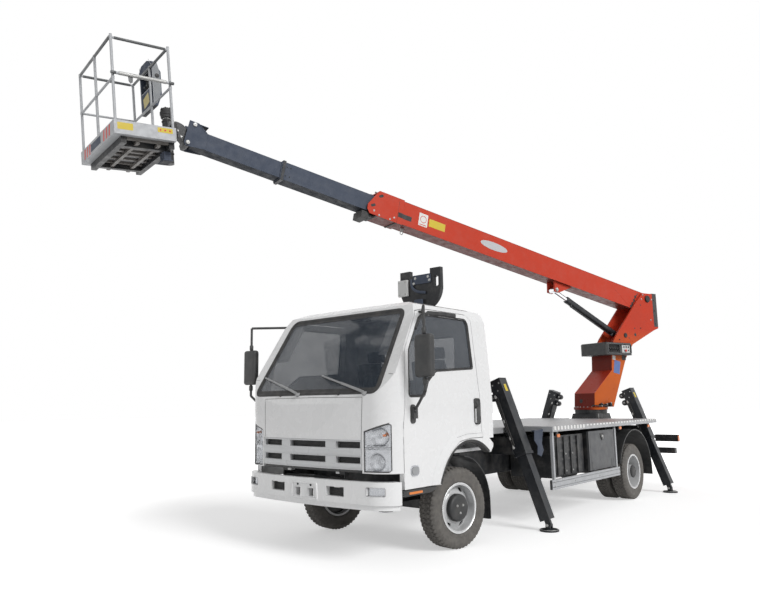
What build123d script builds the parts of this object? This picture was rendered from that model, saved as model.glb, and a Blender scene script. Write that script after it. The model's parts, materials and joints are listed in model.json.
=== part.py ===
"""Cherry picker truck: a light cab-over truck with a slewing telescopic boom and a basket.

All sizes are millimetres. The model is drawn with +X forward, +Y to the vehicle's left and +Z up, from a point
on the ground under the front axle. At export it is moved so that its origin is on the ground under the middle
of its outer box. The turret, boom and basket are drawn pointing forward and are turned to their parked pose.
"""
import os
from math import atan2, cos, degrees, hypot, radians, sin, tan

from build123d import *

os.makedirs("parts", exist_ok=True)

# Wheels and axles
WHEELBASE = 4170
TRACK_FRONT = 1680
TRACK_REAR = 1620
TYRE_RADIUS = 383.5
TYRE_WIDTH = 211
RIM_RADIUS = 235
TWIN_PITCH = 240
KINGPIN_Y = 690
STEER_REST = 8.3
RUN_GAP = 5
SEAT_GAP = 0.3

# Chassis
RAIL_OUT = 425
RAIL_WEB = 8
RAIL_FLANGE = 70
RAIL_BOTTOM = 560
RAIL_TOP = 770
FRAME_FRONT = 1110
FRAME_REAR = -WHEELBASE - 1980

# Deck and subframe
SUB_HEIGHT = 160
SUB_WIDTH = 80
DECK_TOP = 1100
DECK_PLATE = 12
DECK_LIP = 62
DECK_HALF = 1090
DECK_FRONT_HALF = 700
DECK_FRONT = -725
DECK_STEP = -1660
DECK_REAR = -WHEELBASE - 870

# Stabiliser legs
LEG_ANGLE = 20
LEG_FOOT_Y = 1170
LEG_FOOT_Z = 66
LEG_BOX = 150
LEG_BOX_WALL = 8
LEG_TUBE = 122
LEG_FRONT_X = -1300
LEG_REAR_X = -WHEELBASE - 988
LEG_FRONT_TOP = 1640
LEG_REAR_TOP = 1545
LEG_BOX_LOW = 790
PAD_RADIUS = 105
PAD_THICK = 16

# Cab
CAB_HALF = 1005
CAB_FRONT = 1190
CAB_REAR = -490
CAB_TOP = 2400
CAB_WALL = 38
CAB_FLOOR = 900
FLOOR_THICK = 30
DOOR_FRONT = 964
DOOR_REAR = -290
DOOR_GAP = 6
DOOR_BOTTOM = 645
FACE_BOTTOM = 790
ARCH_X = -60
ARCH_Z = 500
ARCH_RADIUS = 530
SIDE_BOTTOM = 1040
GLASS_THICK = 6

# Turret, boom and basket
SLEW_X = -WHEELBASE - 980
SLEW_REST = 16.8
LUFF_REST = 10.5
RING_TOP = 1278
PIVOT_BACK = 1436
PIVOT_Z = 3152
BOOM_TOP = 98
BOOM_TAIL = 80
OUTER_HEIGHT = 345
OUTER_WIDTH = 260
OUTER_END = 5681
OUTER_WALL = 8
MID_HEIGHT = 240
MID_WIDTH = 204
MID_END = 7136
MID_LENGTH = 5200
MID_WALL = 6
INNER_HEIGHT = 214
INNER_WIDTH = 178
INNER_END = 8286
INNER_LENGTH = 4700
BOOM_AXIS = -92
PIN_RADIUS = 35
LEVEL_BEYOND = 52
LEVEL_Z = -185
CYL_EYE_X = 2128
CYL_EYE_DROP = 125
CYL_EYE_RADIUS = 40
CYL_FOOT_R = -780
CYL_FOOT_Z = 2480
BARREL_RADIUS = 55
ROD_RADIUS = 36
SWING_AHEAD = 200
SWING_REST = 7
LEVEL_TILT = 5.5
BASKET_AHEAD = 172
BASKET_DROP = 185
BASKET_DEPTH = 625
BASKET_WIDTH = 1110
BASKET_HEIGHT = 1100
TUBE = 15

# Places that follow from the sizes above, in the turret's own frame
LUFF_TURN = radians(LUFF_REST)
LEVEL_X = INNER_END + LEVEL_BEYOND
LEVEL_R = -PIVOT_BACK + LEVEL_X * cos(LUFF_TURN) - LEVEL_Z * sin(LUFF_TURN)
LEVEL_HIGH = PIVOT_Z + LEVEL_X * sin(LUFF_TURN) + LEVEL_Z * cos(LUFF_TURN)
SWING_R = LEVEL_R + SWING_AHEAD
BASKET_FLOOR = LEVEL_HIGH - BASKET_DROP

SIDES = (("left", 1), ("right", -1))
PIECES = []


def keep(builder, name, place=Location()):
    """Label a finished piece, put it in its place and set it aside for export."""
    piece = builder.part.moved(place)
    piece.label = name
    PIECES.append(piece)


def slab(x0, x1, y0, y1, z0, z1, mode=Mode.ADD):
    """A block between two corners."""
    with Locations(((x0 + x1) / 2, (y0 + y1) / 2, (z0 + z1) / 2)):
        Box(abs(x1 - x0), abs(y1 - y0), abs(z1 - z0), mode=mode)


def rod(start, end, radius, mode=Mode.ADD):
    """A round bar from one point to another."""
    with BuildSketch(Plane(origin=start, z_dir=Vector(*end) - Vector(*start))) as section:
        Circle(radius)
    extrude(section.sketch, amount=(Vector(*end) - Vector(*start)).length, mode=mode)


def across(x, z, radius, half, mode=Mode.ADD):
    """A round bar along Y, centred on y = 0."""
    rod((x, -half, z), (x, half, z), radius, mode=mode)


def plate(points, y0, y1, mode=Mode.ADD):
    """A plate with a side outline of (x, z) points, between two Y values."""
    with BuildSketch(Plane.XZ.offset(-max(y0, y1))) as outline:
        with BuildLine():
            Polyline(*points, close=True)
        make_face()
    extrude(outline.sketch, amount=abs(y1 - y0), mode=mode)


# Chassis frame: two channel rails, their cross members and the lugs that the cab tilts on
CROSS_BOTTOM = 655
TILT_X = 1090
TILT_Z = 790
TILT_PIN = 12
LUG_IN = 360
HOOP_IN = 600
HOOP_OUT = 950
HOOP_RADIUS = 492
HOOP_THICK = 10
HOOP_LOW = 215
with BuildPart() as chassis_frame:
    for side in (1, -1):
        with BuildSketch(Plane.YZ.offset(FRAME_REAR)):
            with BuildLine():
                y_out, y_in = side * RAIL_OUT, side * (RAIL_OUT - RAIL_FLANGE)
                y_web = side * (RAIL_OUT - RAIL_WEB)
                Polyline((y_out, RAIL_BOTTOM), (y_in, RAIL_BOTTOM), (y_in, RAIL_BOTTOM + RAIL_WEB),
                         (y_web, RAIL_BOTTOM + RAIL_WEB), (y_web, RAIL_TOP - RAIL_WEB), (y_in, RAIL_TOP - RAIL_WEB),
                         (y_in, RAIL_TOP), (y_out, RAIL_TOP), close=True)
            make_face()
        extrude(amount=FRAME_FRONT - FRAME_REAR)
    for x in (FRAME_FRONT - 60, -700, -1700, -2700, 610 - WHEELBASE, -WHEELBASE - 610, -WHEELBASE - 1330,
              FRAME_REAR + 60):
        slab(x - 40, x + 40, -RAIL_OUT + RAIL_WEB, RAIL_OUT - RAIL_WEB, CROSS_BOTTOM, RAIL_TOP - 40)
    # Mudguards behind the front wheels, clear of their sweep
    for side in (1, -1):
        with BuildSketch(Plane.XZ.offset(-side * HOOP_OUT if side > 0 else HOOP_IN)) as hoop:
            with BuildLine():
                crown = CenterArc((0, TYRE_RADIUS), HOOP_RADIUS, 95, 85)
                inside = CenterArc((0, TYRE_RADIUS), HOOP_RADIUS - HOOP_THICK, 95, 85)
                Line(crown @ 0, inside @ 0)
                Line(crown @ 1, inside @ 1)
            make_face()
        extrude(hoop.sketch, amount=HOOP_OUT - HOOP_IN)
        slab(-HOOP_RADIUS, -HOOP_RADIUS + HOOP_THICK, side * HOOP_IN, side * HOOP_OUT, HOOP_LOW, TYRE_RADIUS)
        slab(-HOOP_RADIUS + 20, -HOOP_RADIUS + 60, side * (RAIL_OUT - RAIL_WEB), side * HOOP_IN, 640, 700)
        slab(-HOOP_RADIUS + 20, -HOOP_RADIUS + 60, side * (HOOP_IN - 12), side * (HOOP_IN + 5), 560, 700)
    for side in (1, -1):
        slab(TILT_X - 28, TILT_X + 20, side * LUG_IN, side * RAIL_OUT, RAIL_TOP, TILT_Z + 26)
        rod((TILT_X, side * LUG_IN, TILT_Z), (TILT_X, side * (LUG_IN - 62), TILT_Z), TILT_PIN)
keep(chassis_frame, "chassis_frame")

# Engine block with gearbox and drive shaft
ENGINE_BOTTOM = 520
ENGINE_TOP = 850
SHAFT_Z = 470
with BuildPart() as engine_block:
    slab(-120, 820, -290, 290, ENGINE_BOTTOM, ENGINE_TOP)
    slab(-640, -120, -170, 170, ENGINE_BOTTOM + 20, RAIL_TOP - 20)
    rod((-640, 0, ENGINE_BOTTOM + 65), (-WHEELBASE + 260, 0, SHAFT_Z), 45)
    for side in (1, -1):
        slab(200, 320, side * 290, side * (RAIL_OUT - RAIL_WEB), 660, 720)
keep(engine_block, "engine_block")

# Front axle beam with its leaf springs
SPRING_Y = RAIL_OUT - RAIL_FLANGE / 2
SPRING_WIDTH = 70
BEAM_HALF_HEIGHT = 45


def springs(centre_x, half_length, seat_z, leaves):
    """A pair of leaf springs that hang from the rails, clamped on the axle."""
    for side in (1, -1):
        for leaf in range(leaves):
            reach = half_length * (1 - 0.17 * leaf)
            slab(centre_x - reach, centre_x + reach, side * SPRING_Y - SPRING_WIDTH / 2,
                 side * SPRING_Y + SPRING_WIDTH / 2, seat_z + 12 * (leaves - 1 - leaf), seat_z + 12 * (leaves - leaf))
        top = seat_z + 12 * leaves
        for end in (-1, 1):
            x = centre_x + end * (half_length - 35)
            slab(x - 30, x + 30, side * SPRING_Y - 30, side * SPRING_Y + 30, top, RAIL_BOTTOM)


with BuildPart() as front_axle:
    slab(-50, 50, -KINGPIN_Y + 35, KINGPIN_Y - 35, TYRE_RADIUS - BEAM_HALF_HEIGHT, TYRE_RADIUS + BEAM_HALF_HEIGHT)
    for side in (1, -1):
        with Locations((0, side * KINGPIN_Y, TYRE_RADIUS)):
            Cylinder(60, 2 * BEAM_HALF_HEIGHT)
            Cylinder(20 + SEAT_GAP, 2 * BEAM_HALF_HEIGHT, mode=Mode.SUBTRACT)
    springs(0, 600, TYRE_RADIUS + BEAM_HALF_HEIGHT, 4)
keep(front_axle, "front_axle")

# Rear axle housing with its leaf springs
REAR_HUB_IN = TRACK_REAR / 2 - TWIN_PITCH / 2 - 60
REAR_HUB_OUT = TRACK_REAR / 2 + TWIN_PITCH / 2 + 60
with BuildPart() as rear_axle:
    rod((-WHEELBASE, -REAR_HUB_IN, TYRE_RADIUS), (-WHEELBASE, REAR_HUB_IN, TYRE_RADIUS), 65)
    with Locations((-WHEELBASE, 0, TYRE_RADIUS)):
        Sphere(170)
    rod((-WHEELBASE, 0, TYRE_RADIUS + 60), (-WHEELBASE + 230, 0, SHAFT_Z), 70)
    rod((-WHEELBASE, -REAR_HUB_OUT, TYRE_RADIUS), (-WHEELBASE, REAR_HUB_OUT, TYRE_RADIUS), 40)
    springs(-WHEELBASE, 620, TYRE_RADIUS + 62, 6)
keep(rear_axle, "rear_axle")

# Knuckles: the kingpin fork and the stub that carries the front wheel
FORK_GAP = 6
STUB_RADIUS = 35
FRONT_STUB_END = TRACK_FRONT / 2 + 90
FORK_TOP = BEAM_HALF_HEIGHT + FORK_GAP


def steered(side, height=0):
    """The place of a front wheel piece, turned about its kingpin."""
    return Location((0, side * KINGPIN_Y, height), (0, 0, -STEER_REST)) * Location((0, -side * KINGPIN_Y, 0))


for name, side in SIDES:
    with BuildPart() as knuckle:
        with Locations((0, side * KINGPIN_Y, TYRE_RADIUS)):
            Cylinder(20, 2 * (FORK_TOP + 30))
        for low in (-FORK_TOP - 30, FORK_TOP):
            slab(-45, 45, side * (KINGPIN_Y - 45), side * (KINGPIN_Y + 90), TYRE_RADIUS + low, TYRE_RADIUS + low + 30)
        slab(-45, 45, side * (KINGPIN_Y + 60 + FORK_GAP), side * (KINGPIN_Y + 90), TYRE_RADIUS - FORK_TOP - 30,
             TYRE_RADIUS + FORK_TOP + 30)
        rod((0, side * (KINGPIN_Y + 80), TYRE_RADIUS), (0, side * FRONT_STUB_END, TYRE_RADIUS), STUB_RADIUS)
        slab(-200, -40, side * (KINGPIN_Y - 20), side * (KINGPIN_Y + 20), TYRE_RADIUS - FORK_TOP - 30,
             TYRE_RADIUS - FORK_TOP)
    keep(knuckle, f"knuckle_{name}", steered(side))


# Tyres: a turned section, drawn about the axle along Y
RIM_HALF = 92
RIM_FLANGE = 12


def tyre_ring(centre_y):
    """One tyre with its sidewalls, standing on the ground."""
    half = TYRE_WIDTH / 2
    shoulder = TYRE_RADIUS - 16
    bead = RIM_HALF - RIM_FLANGE - SEAT_GAP
    with BuildSketch(Plane.YZ) as section:
        with BuildLine():
            Polyline((centre_y - bead, RIM_RADIUS - 8), (centre_y - bead, RIM_RADIUS + SEAT_GAP),
                     (centre_y - half + 8, RIM_RADIUS + 18),
                     (centre_y - half, (RIM_RADIUS + shoulder) / 2), (centre_y - half + 14, shoulder),
                     (centre_y - half + 30, TYRE_RADIUS), (centre_y + half - 30, TYRE_RADIUS),
                     (centre_y + half - 14, shoulder), (centre_y + half, (RIM_RADIUS + shoulder) / 2),
                     (centre_y + half - 8, RIM_RADIUS + 18), (centre_y + bead, RIM_RADIUS + SEAT_GAP),
                     (centre_y + bead, RIM_RADIUS - 8), close=True)
        make_face()
    revolve(section.sketch, axis=Axis.Y)


def rim_ring(centre_y, side, disc_at, bore):
    """One steel rim: flanged barrel, dished disc with oval hand holes and a hub hole."""
    with BuildSketch(Plane.YZ) as barrel:
        with BuildLine():
            seat = RIM_HALF - RIM_FLANGE
            Polyline((centre_y - RIM_HALF, RIM_RADIUS), (centre_y - seat, RIM_RADIUS),
                     (centre_y - seat, RIM_RADIUS - 8 - SEAT_GAP), (centre_y + seat, RIM_RADIUS - 8 - SEAT_GAP),
                     (centre_y + seat, RIM_RADIUS), (centre_y + RIM_HALF, RIM_RADIUS),
                     (centre_y + RIM_HALF, RIM_RADIUS - 20), (centre_y - RIM_HALF, RIM_RADIUS - 20), close=True)
        make_face()
    revolve(barrel.sketch, axis=Axis.Y)
    with BuildSketch(Plane.YZ) as disc:
        with BuildLine():
            Polyline((disc_at - side * 55, RIM_RADIUS - 15), (disc_at - side * 40, RIM_RADIUS - 15),
                     (disc_at, 150), (disc_at, bore), (disc_at - side * 14, bore), (disc_at - side * 14, 145),
                     close=True)
        make_face()
    revolve(disc.sketch, axis=Axis.Y)
    with BuildSketch(Plane.XZ.offset(-(disc_at + 60))) as holes:
        with PolarLocations(182, 6):
            SlotOverall(62, 40, rotation=90)
    extrude(holes.sketch, amount=120, mode=Mode.SUBTRACT)


FRONT_DISC = TRACK_FRONT / 2 + 38
for name, side in SIDES:
    centre = side * TRACK_FRONT / 2
    with BuildPart() as tyre:
        tyre_ring(centre)
    keep(tyre, f"tyre_front_{name}", steered(side, TYRE_RADIUS))
    with BuildPart() as rim:
        rim_ring(centre, side, side * FRONT_DISC, STUB_RADIUS + SEAT_GAP)
        with BuildSketch(Plane.YZ):
            with BuildLine():
                Polyline((side * (FRONT_DISC - 60), 75), (side * (FRONT_DISC + 5), 75), (side * (FRONT_DISC + 55), 55),
                         (side * (FRONT_DISC + 55), 0), (side * (FRONT_STUB_END + 1), 0),
                         (side * (FRONT_STUB_END + 1), STUB_RADIUS + SEAT_GAP),
                         (side * (FRONT_DISC - 60), STUB_RADIUS + SEAT_GAP), close=True)
            make_face()
        revolve(axis=Axis.Y)
    keep(rim, f"rim_front_{name}", steered(side, TYRE_RADIUS))

    centre = side * TRACK_REAR / 2
    at_axle = Location((-WHEELBASE, 0, TYRE_RADIUS))
    with BuildPart() as tyres:
        tyre_ring(centre - TWIN_PITCH / 2)
        tyre_ring(centre + TWIN_PITCH / 2)
    keep(tyres, f"tyres_rear_{name}", at_axle)
    with BuildPart() as rims:
        rim_ring(centre - side * TWIN_PITCH / 2, side, centre - side * 8, 60)
        rim_ring(centre + side * TWIN_PITCH / 2, -side, centre + side * 8, 60)
        with BuildSketch(Plane.YZ):
            with BuildLine():
                Polyline((side * (REAR_HUB_IN + RUN_GAP), 95), (centre - side * 20, 95), (centre - side * 20, 150),
                         (centre + side * 22, 150), (centre + side * 22, 95), (side * (REAR_HUB_OUT + 20), 85),
                         (side * (REAR_HUB_OUT + 20), 0), (side * (REAR_HUB_OUT + 1), 0),
                         (side * (REAR_HUB_OUT + 1), 40 + SEAT_GAP), (side * (REAR_HUB_IN + RUN_GAP), 40 + SEAT_GAP),
                         close=True)
            make_face()
        revolve(axis=Axis.Y)
    keep(rims, f"rims_rear_{name}", at_axle)

# Subframe: two long beams on the rails, deck bearers and the cross boxes that hold the legs
SUB_LOW = RAIL_TOP
SUB_HIGH = SUB_LOW + SUB_HEIGHT
SUB_Y = RAIL_OUT - SUB_WIDTH / 2
BEARER_HIGH = DECK_TOP - DECK_PLATE
SUB_FRONT = -706
SUB_REAR = -WHEELBASE - 1430
LEG_LEAN = tan(radians(LEG_ANGLE))
LEG_SPREAD = LEG_BOX / 2 / cos(radians(LEG_ANGLE))


def leg_y(height):
    """Distance of a leg's middle line from the truck's middle at a height."""
    return LEG_FOOT_Y - (height - LEG_FOOT_Z) * LEG_LEAN


BEARER_INSET = 75
BEARER_TIP = 45
CROSS_LOW = RAIL_TOP + 30
PEDESTAL_HALF = 300
RING_THICK = 40
PEDESTAL_TOP = RING_TOP - RING_THICK - SEAT_GAP
CROSS_HIGH = SUB_HIGH + 60
with BuildPart() as subframe:
    for side in (1, -1):
        slab(SUB_REAR, SUB_FRONT, side * SUB_Y - SUB_WIDTH / 2, side * SUB_Y + SUB_WIDTH / 2, SUB_LOW, SUB_HIGH)
    for x in (-900, -1750, -2350, -2950, 620 - WHEELBASE, 20 - WHEELBASE, -WHEELBASE - 530):
        half = DECK_FRONT_HALF if x > DECK_STEP else DECK_HALF
        slab(x - 25, x + 25, -RAIL_OUT, RAIL_OUT, SUB_HIGH, BEARER_HIGH)
        slab(x - 25, x + 25, -half + BEARER_INSET, half - BEARER_INSET, BEARER_HIGH - BEARER_TIP, BEARER_HIGH)
    for x in (LEG_FRONT_X, LEG_REAR_X):
        with BuildSketch(Plane.YZ.offset(x - 85)):
            with BuildLine():
                low, high = leg_y(CROSS_LOW) - LEG_SPREAD, leg_y(CROSS_HIGH) - LEG_SPREAD
                Polyline((-low, CROSS_LOW), (low, CROSS_LOW), (high, CROSS_HIGH), (-high, CROSS_HIGH), close=True)
            make_face()
        extrude(amount=170)
    # Pedestal under the slewing ring
    with BuildSketch(Plane.XY.offset(SUB_HIGH)):
        with Locations((SLEW_X, 0)):
            Rectangle(2 * PEDESTAL_HALF, 2 * PEDESTAL_HALF - 40)
    with BuildSketch(Plane.XY.offset(PEDESTAL_TOP - 60)):
        with Locations((SLEW_X, 0)):
            RectangleRounded(470, 470, 60)
    loft()
    with Locations((SLEW_X, 0, PEDESTAL_TOP - 30)):
        Cylinder(255, 60)
keep(subframe, "subframe")

# Legs: a slanted outer box on the cross box and an inner tube with a round pad
LEG_TOPS = {LEG_FRONT_X: LEG_FRONT_TOP, LEG_REAR_X: LEG_REAR_TOP}
INNER_TOP_GAP = 720
BOX_CLEAR = (LEG_BOX - 2 * LEG_BOX_WALL - LEG_TUBE) / 2
slant = 1 / cos(radians(LEG_ANGLE))
for where, leg_x in (("front", LEG_FRONT_X), ("rear", LEG_REAR_X)):
    top = LEG_TOPS[leg_x]
    box_top = (top - LEG_FOOT_Z) * slant
    box_low = (LEG_BOX_LOW - LEG_FOOT_Z) * slant
    for name, side in SIDES:
        foot = Location((leg_x, side * LEG_FOOT_Y, LEG_FOOT_Z), (side * LEG_ANGLE, 0, 0))
        with BuildPart() as leg_box:
            slab(-LEG_BOX / 2, LEG_BOX / 2, -LEG_BOX / 2, LEG_BOX / 2, box_low, box_top)
            hollow = LEG_BOX / 2 - LEG_BOX_WALL
            slab(-hollow, hollow, -hollow, hollow, box_low, box_top - 12, mode=Mode.SUBTRACT)
            ear_y = -side * (LEG_BOX / 2 + 45)
            for z in (box_top - 60, box_top - 175):
                with BuildSketch(Plane.YZ.offset(-30)):
                    with Locations((ear_y, z)):
                        Circle(42)
                    with Locations((-side * (LEG_BOX / 2 + 20), z)):
                        Rectangle(50, 84)
                extrude(amount=60)
        keep(leg_box, f"leg_box_{where}_{name}", foot)
        with BuildPart() as leg_tube:
            tube_top = box_low + (box_top - box_low) - INNER_TOP_GAP
            slab(-LEG_TUBE / 2, LEG_TUBE / 2, -LEG_TUBE / 2, LEG_TUBE / 2, 52, tube_top)
            with Locations((0, 0, tube_top - 70)):
                Box(LEG_TUBE + 2 * (BOX_CLEAR - SEAT_GAP), LEG_TUBE + 2 * (BOX_CLEAR - SEAT_GAP), 60)
            slab(-18, 18, -32, 32, -5, 52)
            with BuildSketch(Plane.YZ.offset(-18)):
                with Locations((0, -2)):
                    Circle(30)
            extrude(amount=36)
        tube_place = foot
        pad_down = LEG_FOOT_Z
        with BuildPart() as leg_pad:
            for ear_x in (-34, 20):
                slab(ear_x, ear_x + 14, -28, 28, -pad_down + PAD_THICK, 8)
            with Locations((0, 0, -pad_down + PAD_THICK / 2)):
                Cylinder(PAD_RADIUS, PAD_THICK)
            with Locations((0, 0, -pad_down + PAD_THICK + 5)):
                Cylinder(60, 10)
            rod((-44, 0, -2), (44, 0, -2), 12)
        upright = Location((leg_x, side * LEG_FOOT_Y, LEG_FOOT_Z))
        with BuildPart() as leg:
            add(leg_tube.part.moved(foot))
            add(leg_pad.part.moved(upright))
        keep(leg, f"leg_{where}_{name}")

# Deck: plate with folded lips, narrow behind the cab and wide over the wheels
NOTCH_HALF = PEDESTAL_HALF + 40
NOTCH_FRONT = SLEW_X + PEDESTAL_HALF + 40
LIP = 4
with BuildPart() as deck:
    with BuildSketch(Plane.XY.offset(BEARER_HIGH)):
        with BuildLine():
            Polyline((DECK_FRONT, DECK_FRONT_HALF), (DECK_STEP, DECK_FRONT_HALF), (DECK_STEP, DECK_HALF),
                     (DECK_REAR, DECK_HALF), (DECK_REAR, NOTCH_HALF), (NOTCH_FRONT, NOTCH_HALF), (NOTCH_FRONT, 0),
                     (DECK_FRONT, 0), close=True)
        make_face()
        mirror(about=Plane.XZ)
    extrude(amount=DECK_PLATE)
    lip_low = DECK_TOP - DECK_LIP
    for side in (1, -1):
        slab(DECK_REAR, DECK_STEP, side * (DECK_HALF - LIP), side * DECK_HALF, lip_low, BEARER_HIGH)
        slab(DECK_STEP, DECK_FRONT, side * (DECK_FRONT_HALF - LIP), side * DECK_FRONT_HALF, lip_low, BEARER_HIGH)
        slab(DECK_STEP - LIP, DECK_STEP, side * (DECK_FRONT_HALF - LIP), side * DECK_HALF, lip_low, BEARER_HIGH)
    slab(DECK_FRONT - LIP, DECK_FRONT, -DECK_FRONT_HALF, DECK_FRONT_HALF, lip_low, BEARER_HIGH)
keep(deck, "deck")

# Boxes that hang under the deck
GUARD_Y = 1075
GUARD_LOW = 389
GUARD_HIGH = 498
GUARD_FRONT = -1612
GUARD_REAR = 610 - WHEELBASE
BOX_IN = RAIL_OUT + 30
with BuildPart() as fuel_tank:
    slab(-2900, -1900, -BOX_IN - 560, -BOX_IN, 500, 960)
    fillet(fuel_tank.edges().filter_by(Axis.X), 60)
    for x in (-2650, -2150):
        slab(x - 30, x + 30, -BOX_IN, -RAIL_OUT, 600, 740)
keep(fuel_tank, "fuel_tank")
TOOLBOX_REAR = 690 - WHEELBASE
TOOLBOX_FRONT = TOOLBOX_REAR + 780
BATTERY_FRONT = -1760
with BuildPart() as battery_box:
    slab(TOOLBOX_FRONT + 60, BATTERY_FRONT, BOX_IN, 990, 500, 980)
    with Locations(*[(x, 990, 740) for x in (-2480, -2300, -2120, -1940)]):
        Box(60, 30, 440)
    for x in (-2500, -1900):
        slab(x - 30, x + 30, RAIL_OUT, BOX_IN, 600, 740)
keep(battery_box, "battery_box")

TOOLBOX_OUT = 1045
TOOLBOX_LOW = 512
TOOLBOX_HIGH = 1000
TOOL_DOOR = 28
TOOL_WALL = 12
TOOL_KNUCKLE = 7
with BuildPart() as toolbox:
    slab(TOOLBOX_REAR, TOOLBOX_FRONT, BOX_IN, TOOLBOX_OUT - TOOL_DOOR - SEAT_GAP, TOOLBOX_LOW, TOOLBOX_HIGH)
    slab(TOOLBOX_REAR + TOOL_WALL, TOOLBOX_FRONT - TOOL_WALL, BOX_IN + TOOL_WALL, TOOLBOX_OUT,
         TOOLBOX_LOW + TOOL_WALL, TOOLBOX_HIGH - TOOL_WALL, mode=Mode.SUBTRACT)
    for x in (TOOLBOX_REAR + 150, TOOLBOX_FRONT - 150):
        slab(x - 30, x + 30, RAIL_OUT, BOX_IN, 600, 740)
keep(toolbox, "toolbox")
with BuildPart() as toolbox_door:
    slab(TOOLBOX_REAR, TOOLBOX_FRONT, TOOLBOX_OUT - TOOL_DOOR, TOOLBOX_OUT, TOOLBOX_LOW, TOOLBOX_HIGH)
    middle = (TOOLBOX_FRONT + TOOLBOX_REAR) / 2
    with BuildSketch(Plane.XZ.offset(-TOOLBOX_OUT)):
        with Locations((middle, TOOLBOX_HIGH - 85)):
            RegularPolygon(62, 3, rotation=-90)
    extrude(amount=12, mode=Mode.SUBTRACT)
    for x in (TOOLBOX_REAR + 90, TOOLBOX_FRONT - 170):
        rod((x, TOOLBOX_OUT, TOOLBOX_LOW), (x + 80, TOOLBOX_OUT, TOOLBOX_LOW), TOOL_KNUCKLE)
keep(toolbox_door, "toolbox_door")

# Side guards: an aluminium plank on hangers below the deck
for name, side in SIDES:
    with BuildPart() as guard:
        slab(GUARD_REAR, GUARD_FRONT, side * (GUARD_Y - 28), side * GUARD_Y, GUARD_LOW, GUARD_HIGH)
        slab(DECK_STEP - 40, DECK_STEP - 5, side * (GUARD_Y - 28), side * GUARD_Y, GUARD_HIGH, BEARER_HIGH - 0.3)
        slab(GUARD_REAR, GUARD_REAR + 40, side * (GUARD_Y - 50), side * (GUARD_Y - 28), GUARD_LOW, GUARD_HIGH)
        slab(GUARD_REAR, GUARD_REAR + 40, side * (GUARD_Y - 50), side * (GUARD_Y - 28), GUARD_LOW, BEARER_HIGH)
    keep(guard, f"guard_{name}")

# Rear wheel arches with their flaps
WING_RADIUS = 590
WING_THICK = 14
WING_IN = 570
WING_OUT = 1072
FLAP_LOW = 300
for name, side in SIDES:
    with BuildPart() as wing:
        with BuildSketch(Plane.XZ.offset(-side * WING_OUT if side > 0 else WING_IN)):
            with BuildLine():
                outer = CenterArc((-WHEELBASE, TYRE_RADIUS), WING_RADIUS, 15, 165)
                inner = CenterArc((-WHEELBASE, TYRE_RADIUS), WING_RADIUS - WING_THICK, 15, 165)
                Line(outer @ 0, inner @ 0)
                Line(outer @ 1, inner @ 1)
            make_face()
        extrude(amount=WING_OUT - WING_IN)
        slab(-WHEELBASE - WING_RADIUS, -WHEELBASE - WING_RADIUS + WING_THICK, side * WING_IN, side * WING_OUT,
             FLAP_LOW, TYRE_RADIUS)
        slab(-WHEELBASE - 30, -WHEELBASE + 30, side * RAIL_OUT, side * WING_IN, 660, 720)
        slab(-WHEELBASE - 30, -WHEELBASE + 30, side * WING_IN, side * (WING_IN + 12), 660,
             TYRE_RADIUS + WING_RADIUS - WING_THICK / 2)
    keep(wing, f"wheel_arch_{name}")

# Rear light bar and underrun bar
BAR_X = FRAME_REAR - 30
with BuildPart() as rear_bars:
    slab(BAR_X - 60, BAR_X, -1000, 1000, 740, 790)
    for side in (1, -1):
        slab(BAR_X - 90, BAR_X - 10, side * 640, side * 1010, 690, 800)
        slab(BAR_X, FRAME_REAR + 200, side * (RAIL_OUT + 1), side * (RAIL_OUT + 61), 700, 780)
        slab(FRAME_REAR + 20, FRAME_REAR + 200, side * RAIL_OUT, side * (RAIL_OUT + 30), 700, 760)
    slab(BAR_X - 60, FRAME_REAR - SEAT_GAP, -960, 960, 500, 590)
    for side in (1, -1):
        slab(BAR_X - 20, FRAME_REAR + 130, side * (RAIL_OUT - 60), side * (RAIL_OUT - 10), 500, RAIL_BOTTOM)
keep(rear_bars, "rear_bars")


# Cab body: three outlines meet in one form, which is then hollowed
def side_outline(inset):
    """The cab's outline seen from the left, moved inward by an inset."""
    with BuildSketch() as sketch:
        with BuildLine():
            Polyline((CAB_REAR + inset, 600), (CAB_REAR - 65 + inset, 2320))
            Polyline((CAB_REAR - 65 + inset, 2320), (CAB_REAR + 25 + inset, 2388 - inset))
            Polyline((CAB_REAR + 25 + inset, 2388 - inset), (0, CAB_TOP - inset), (470, 2392 - inset),
                     (610 - inset, 2335 - inset), (1142 - inset, 1478), (CAB_FRONT - 15 - inset, 1400),
                     (CAB_FRONT - inset, 1130), (CAB_FRONT - 8 - inset, 600), (CAB_REAR + inset, 600))
        make_face()
    return sketch.sketch


def front_outline(inset):
    """The cab's outline seen from the front, moved inward by an inset."""
    with BuildSketch() as sketch:
        with BuildLine():
            half = CAB_HALF - inset
            Polyline((half, 600), (half, 1380), (half - 88, 2240), (half - 150, 2345 - inset / 2),
                     (half - 290, CAB_TOP - 14 - inset), (0, CAB_TOP - inset))
            Polyline((0, CAB_TOP - inset), (-half + 290, CAB_TOP - 14 - inset), (-half + 150, 2345 - inset / 2),
                     (-half + 88, 2240), (-half, 1380), (-half, 600), (half, 600))
        make_face()
    return sketch.sketch


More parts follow.
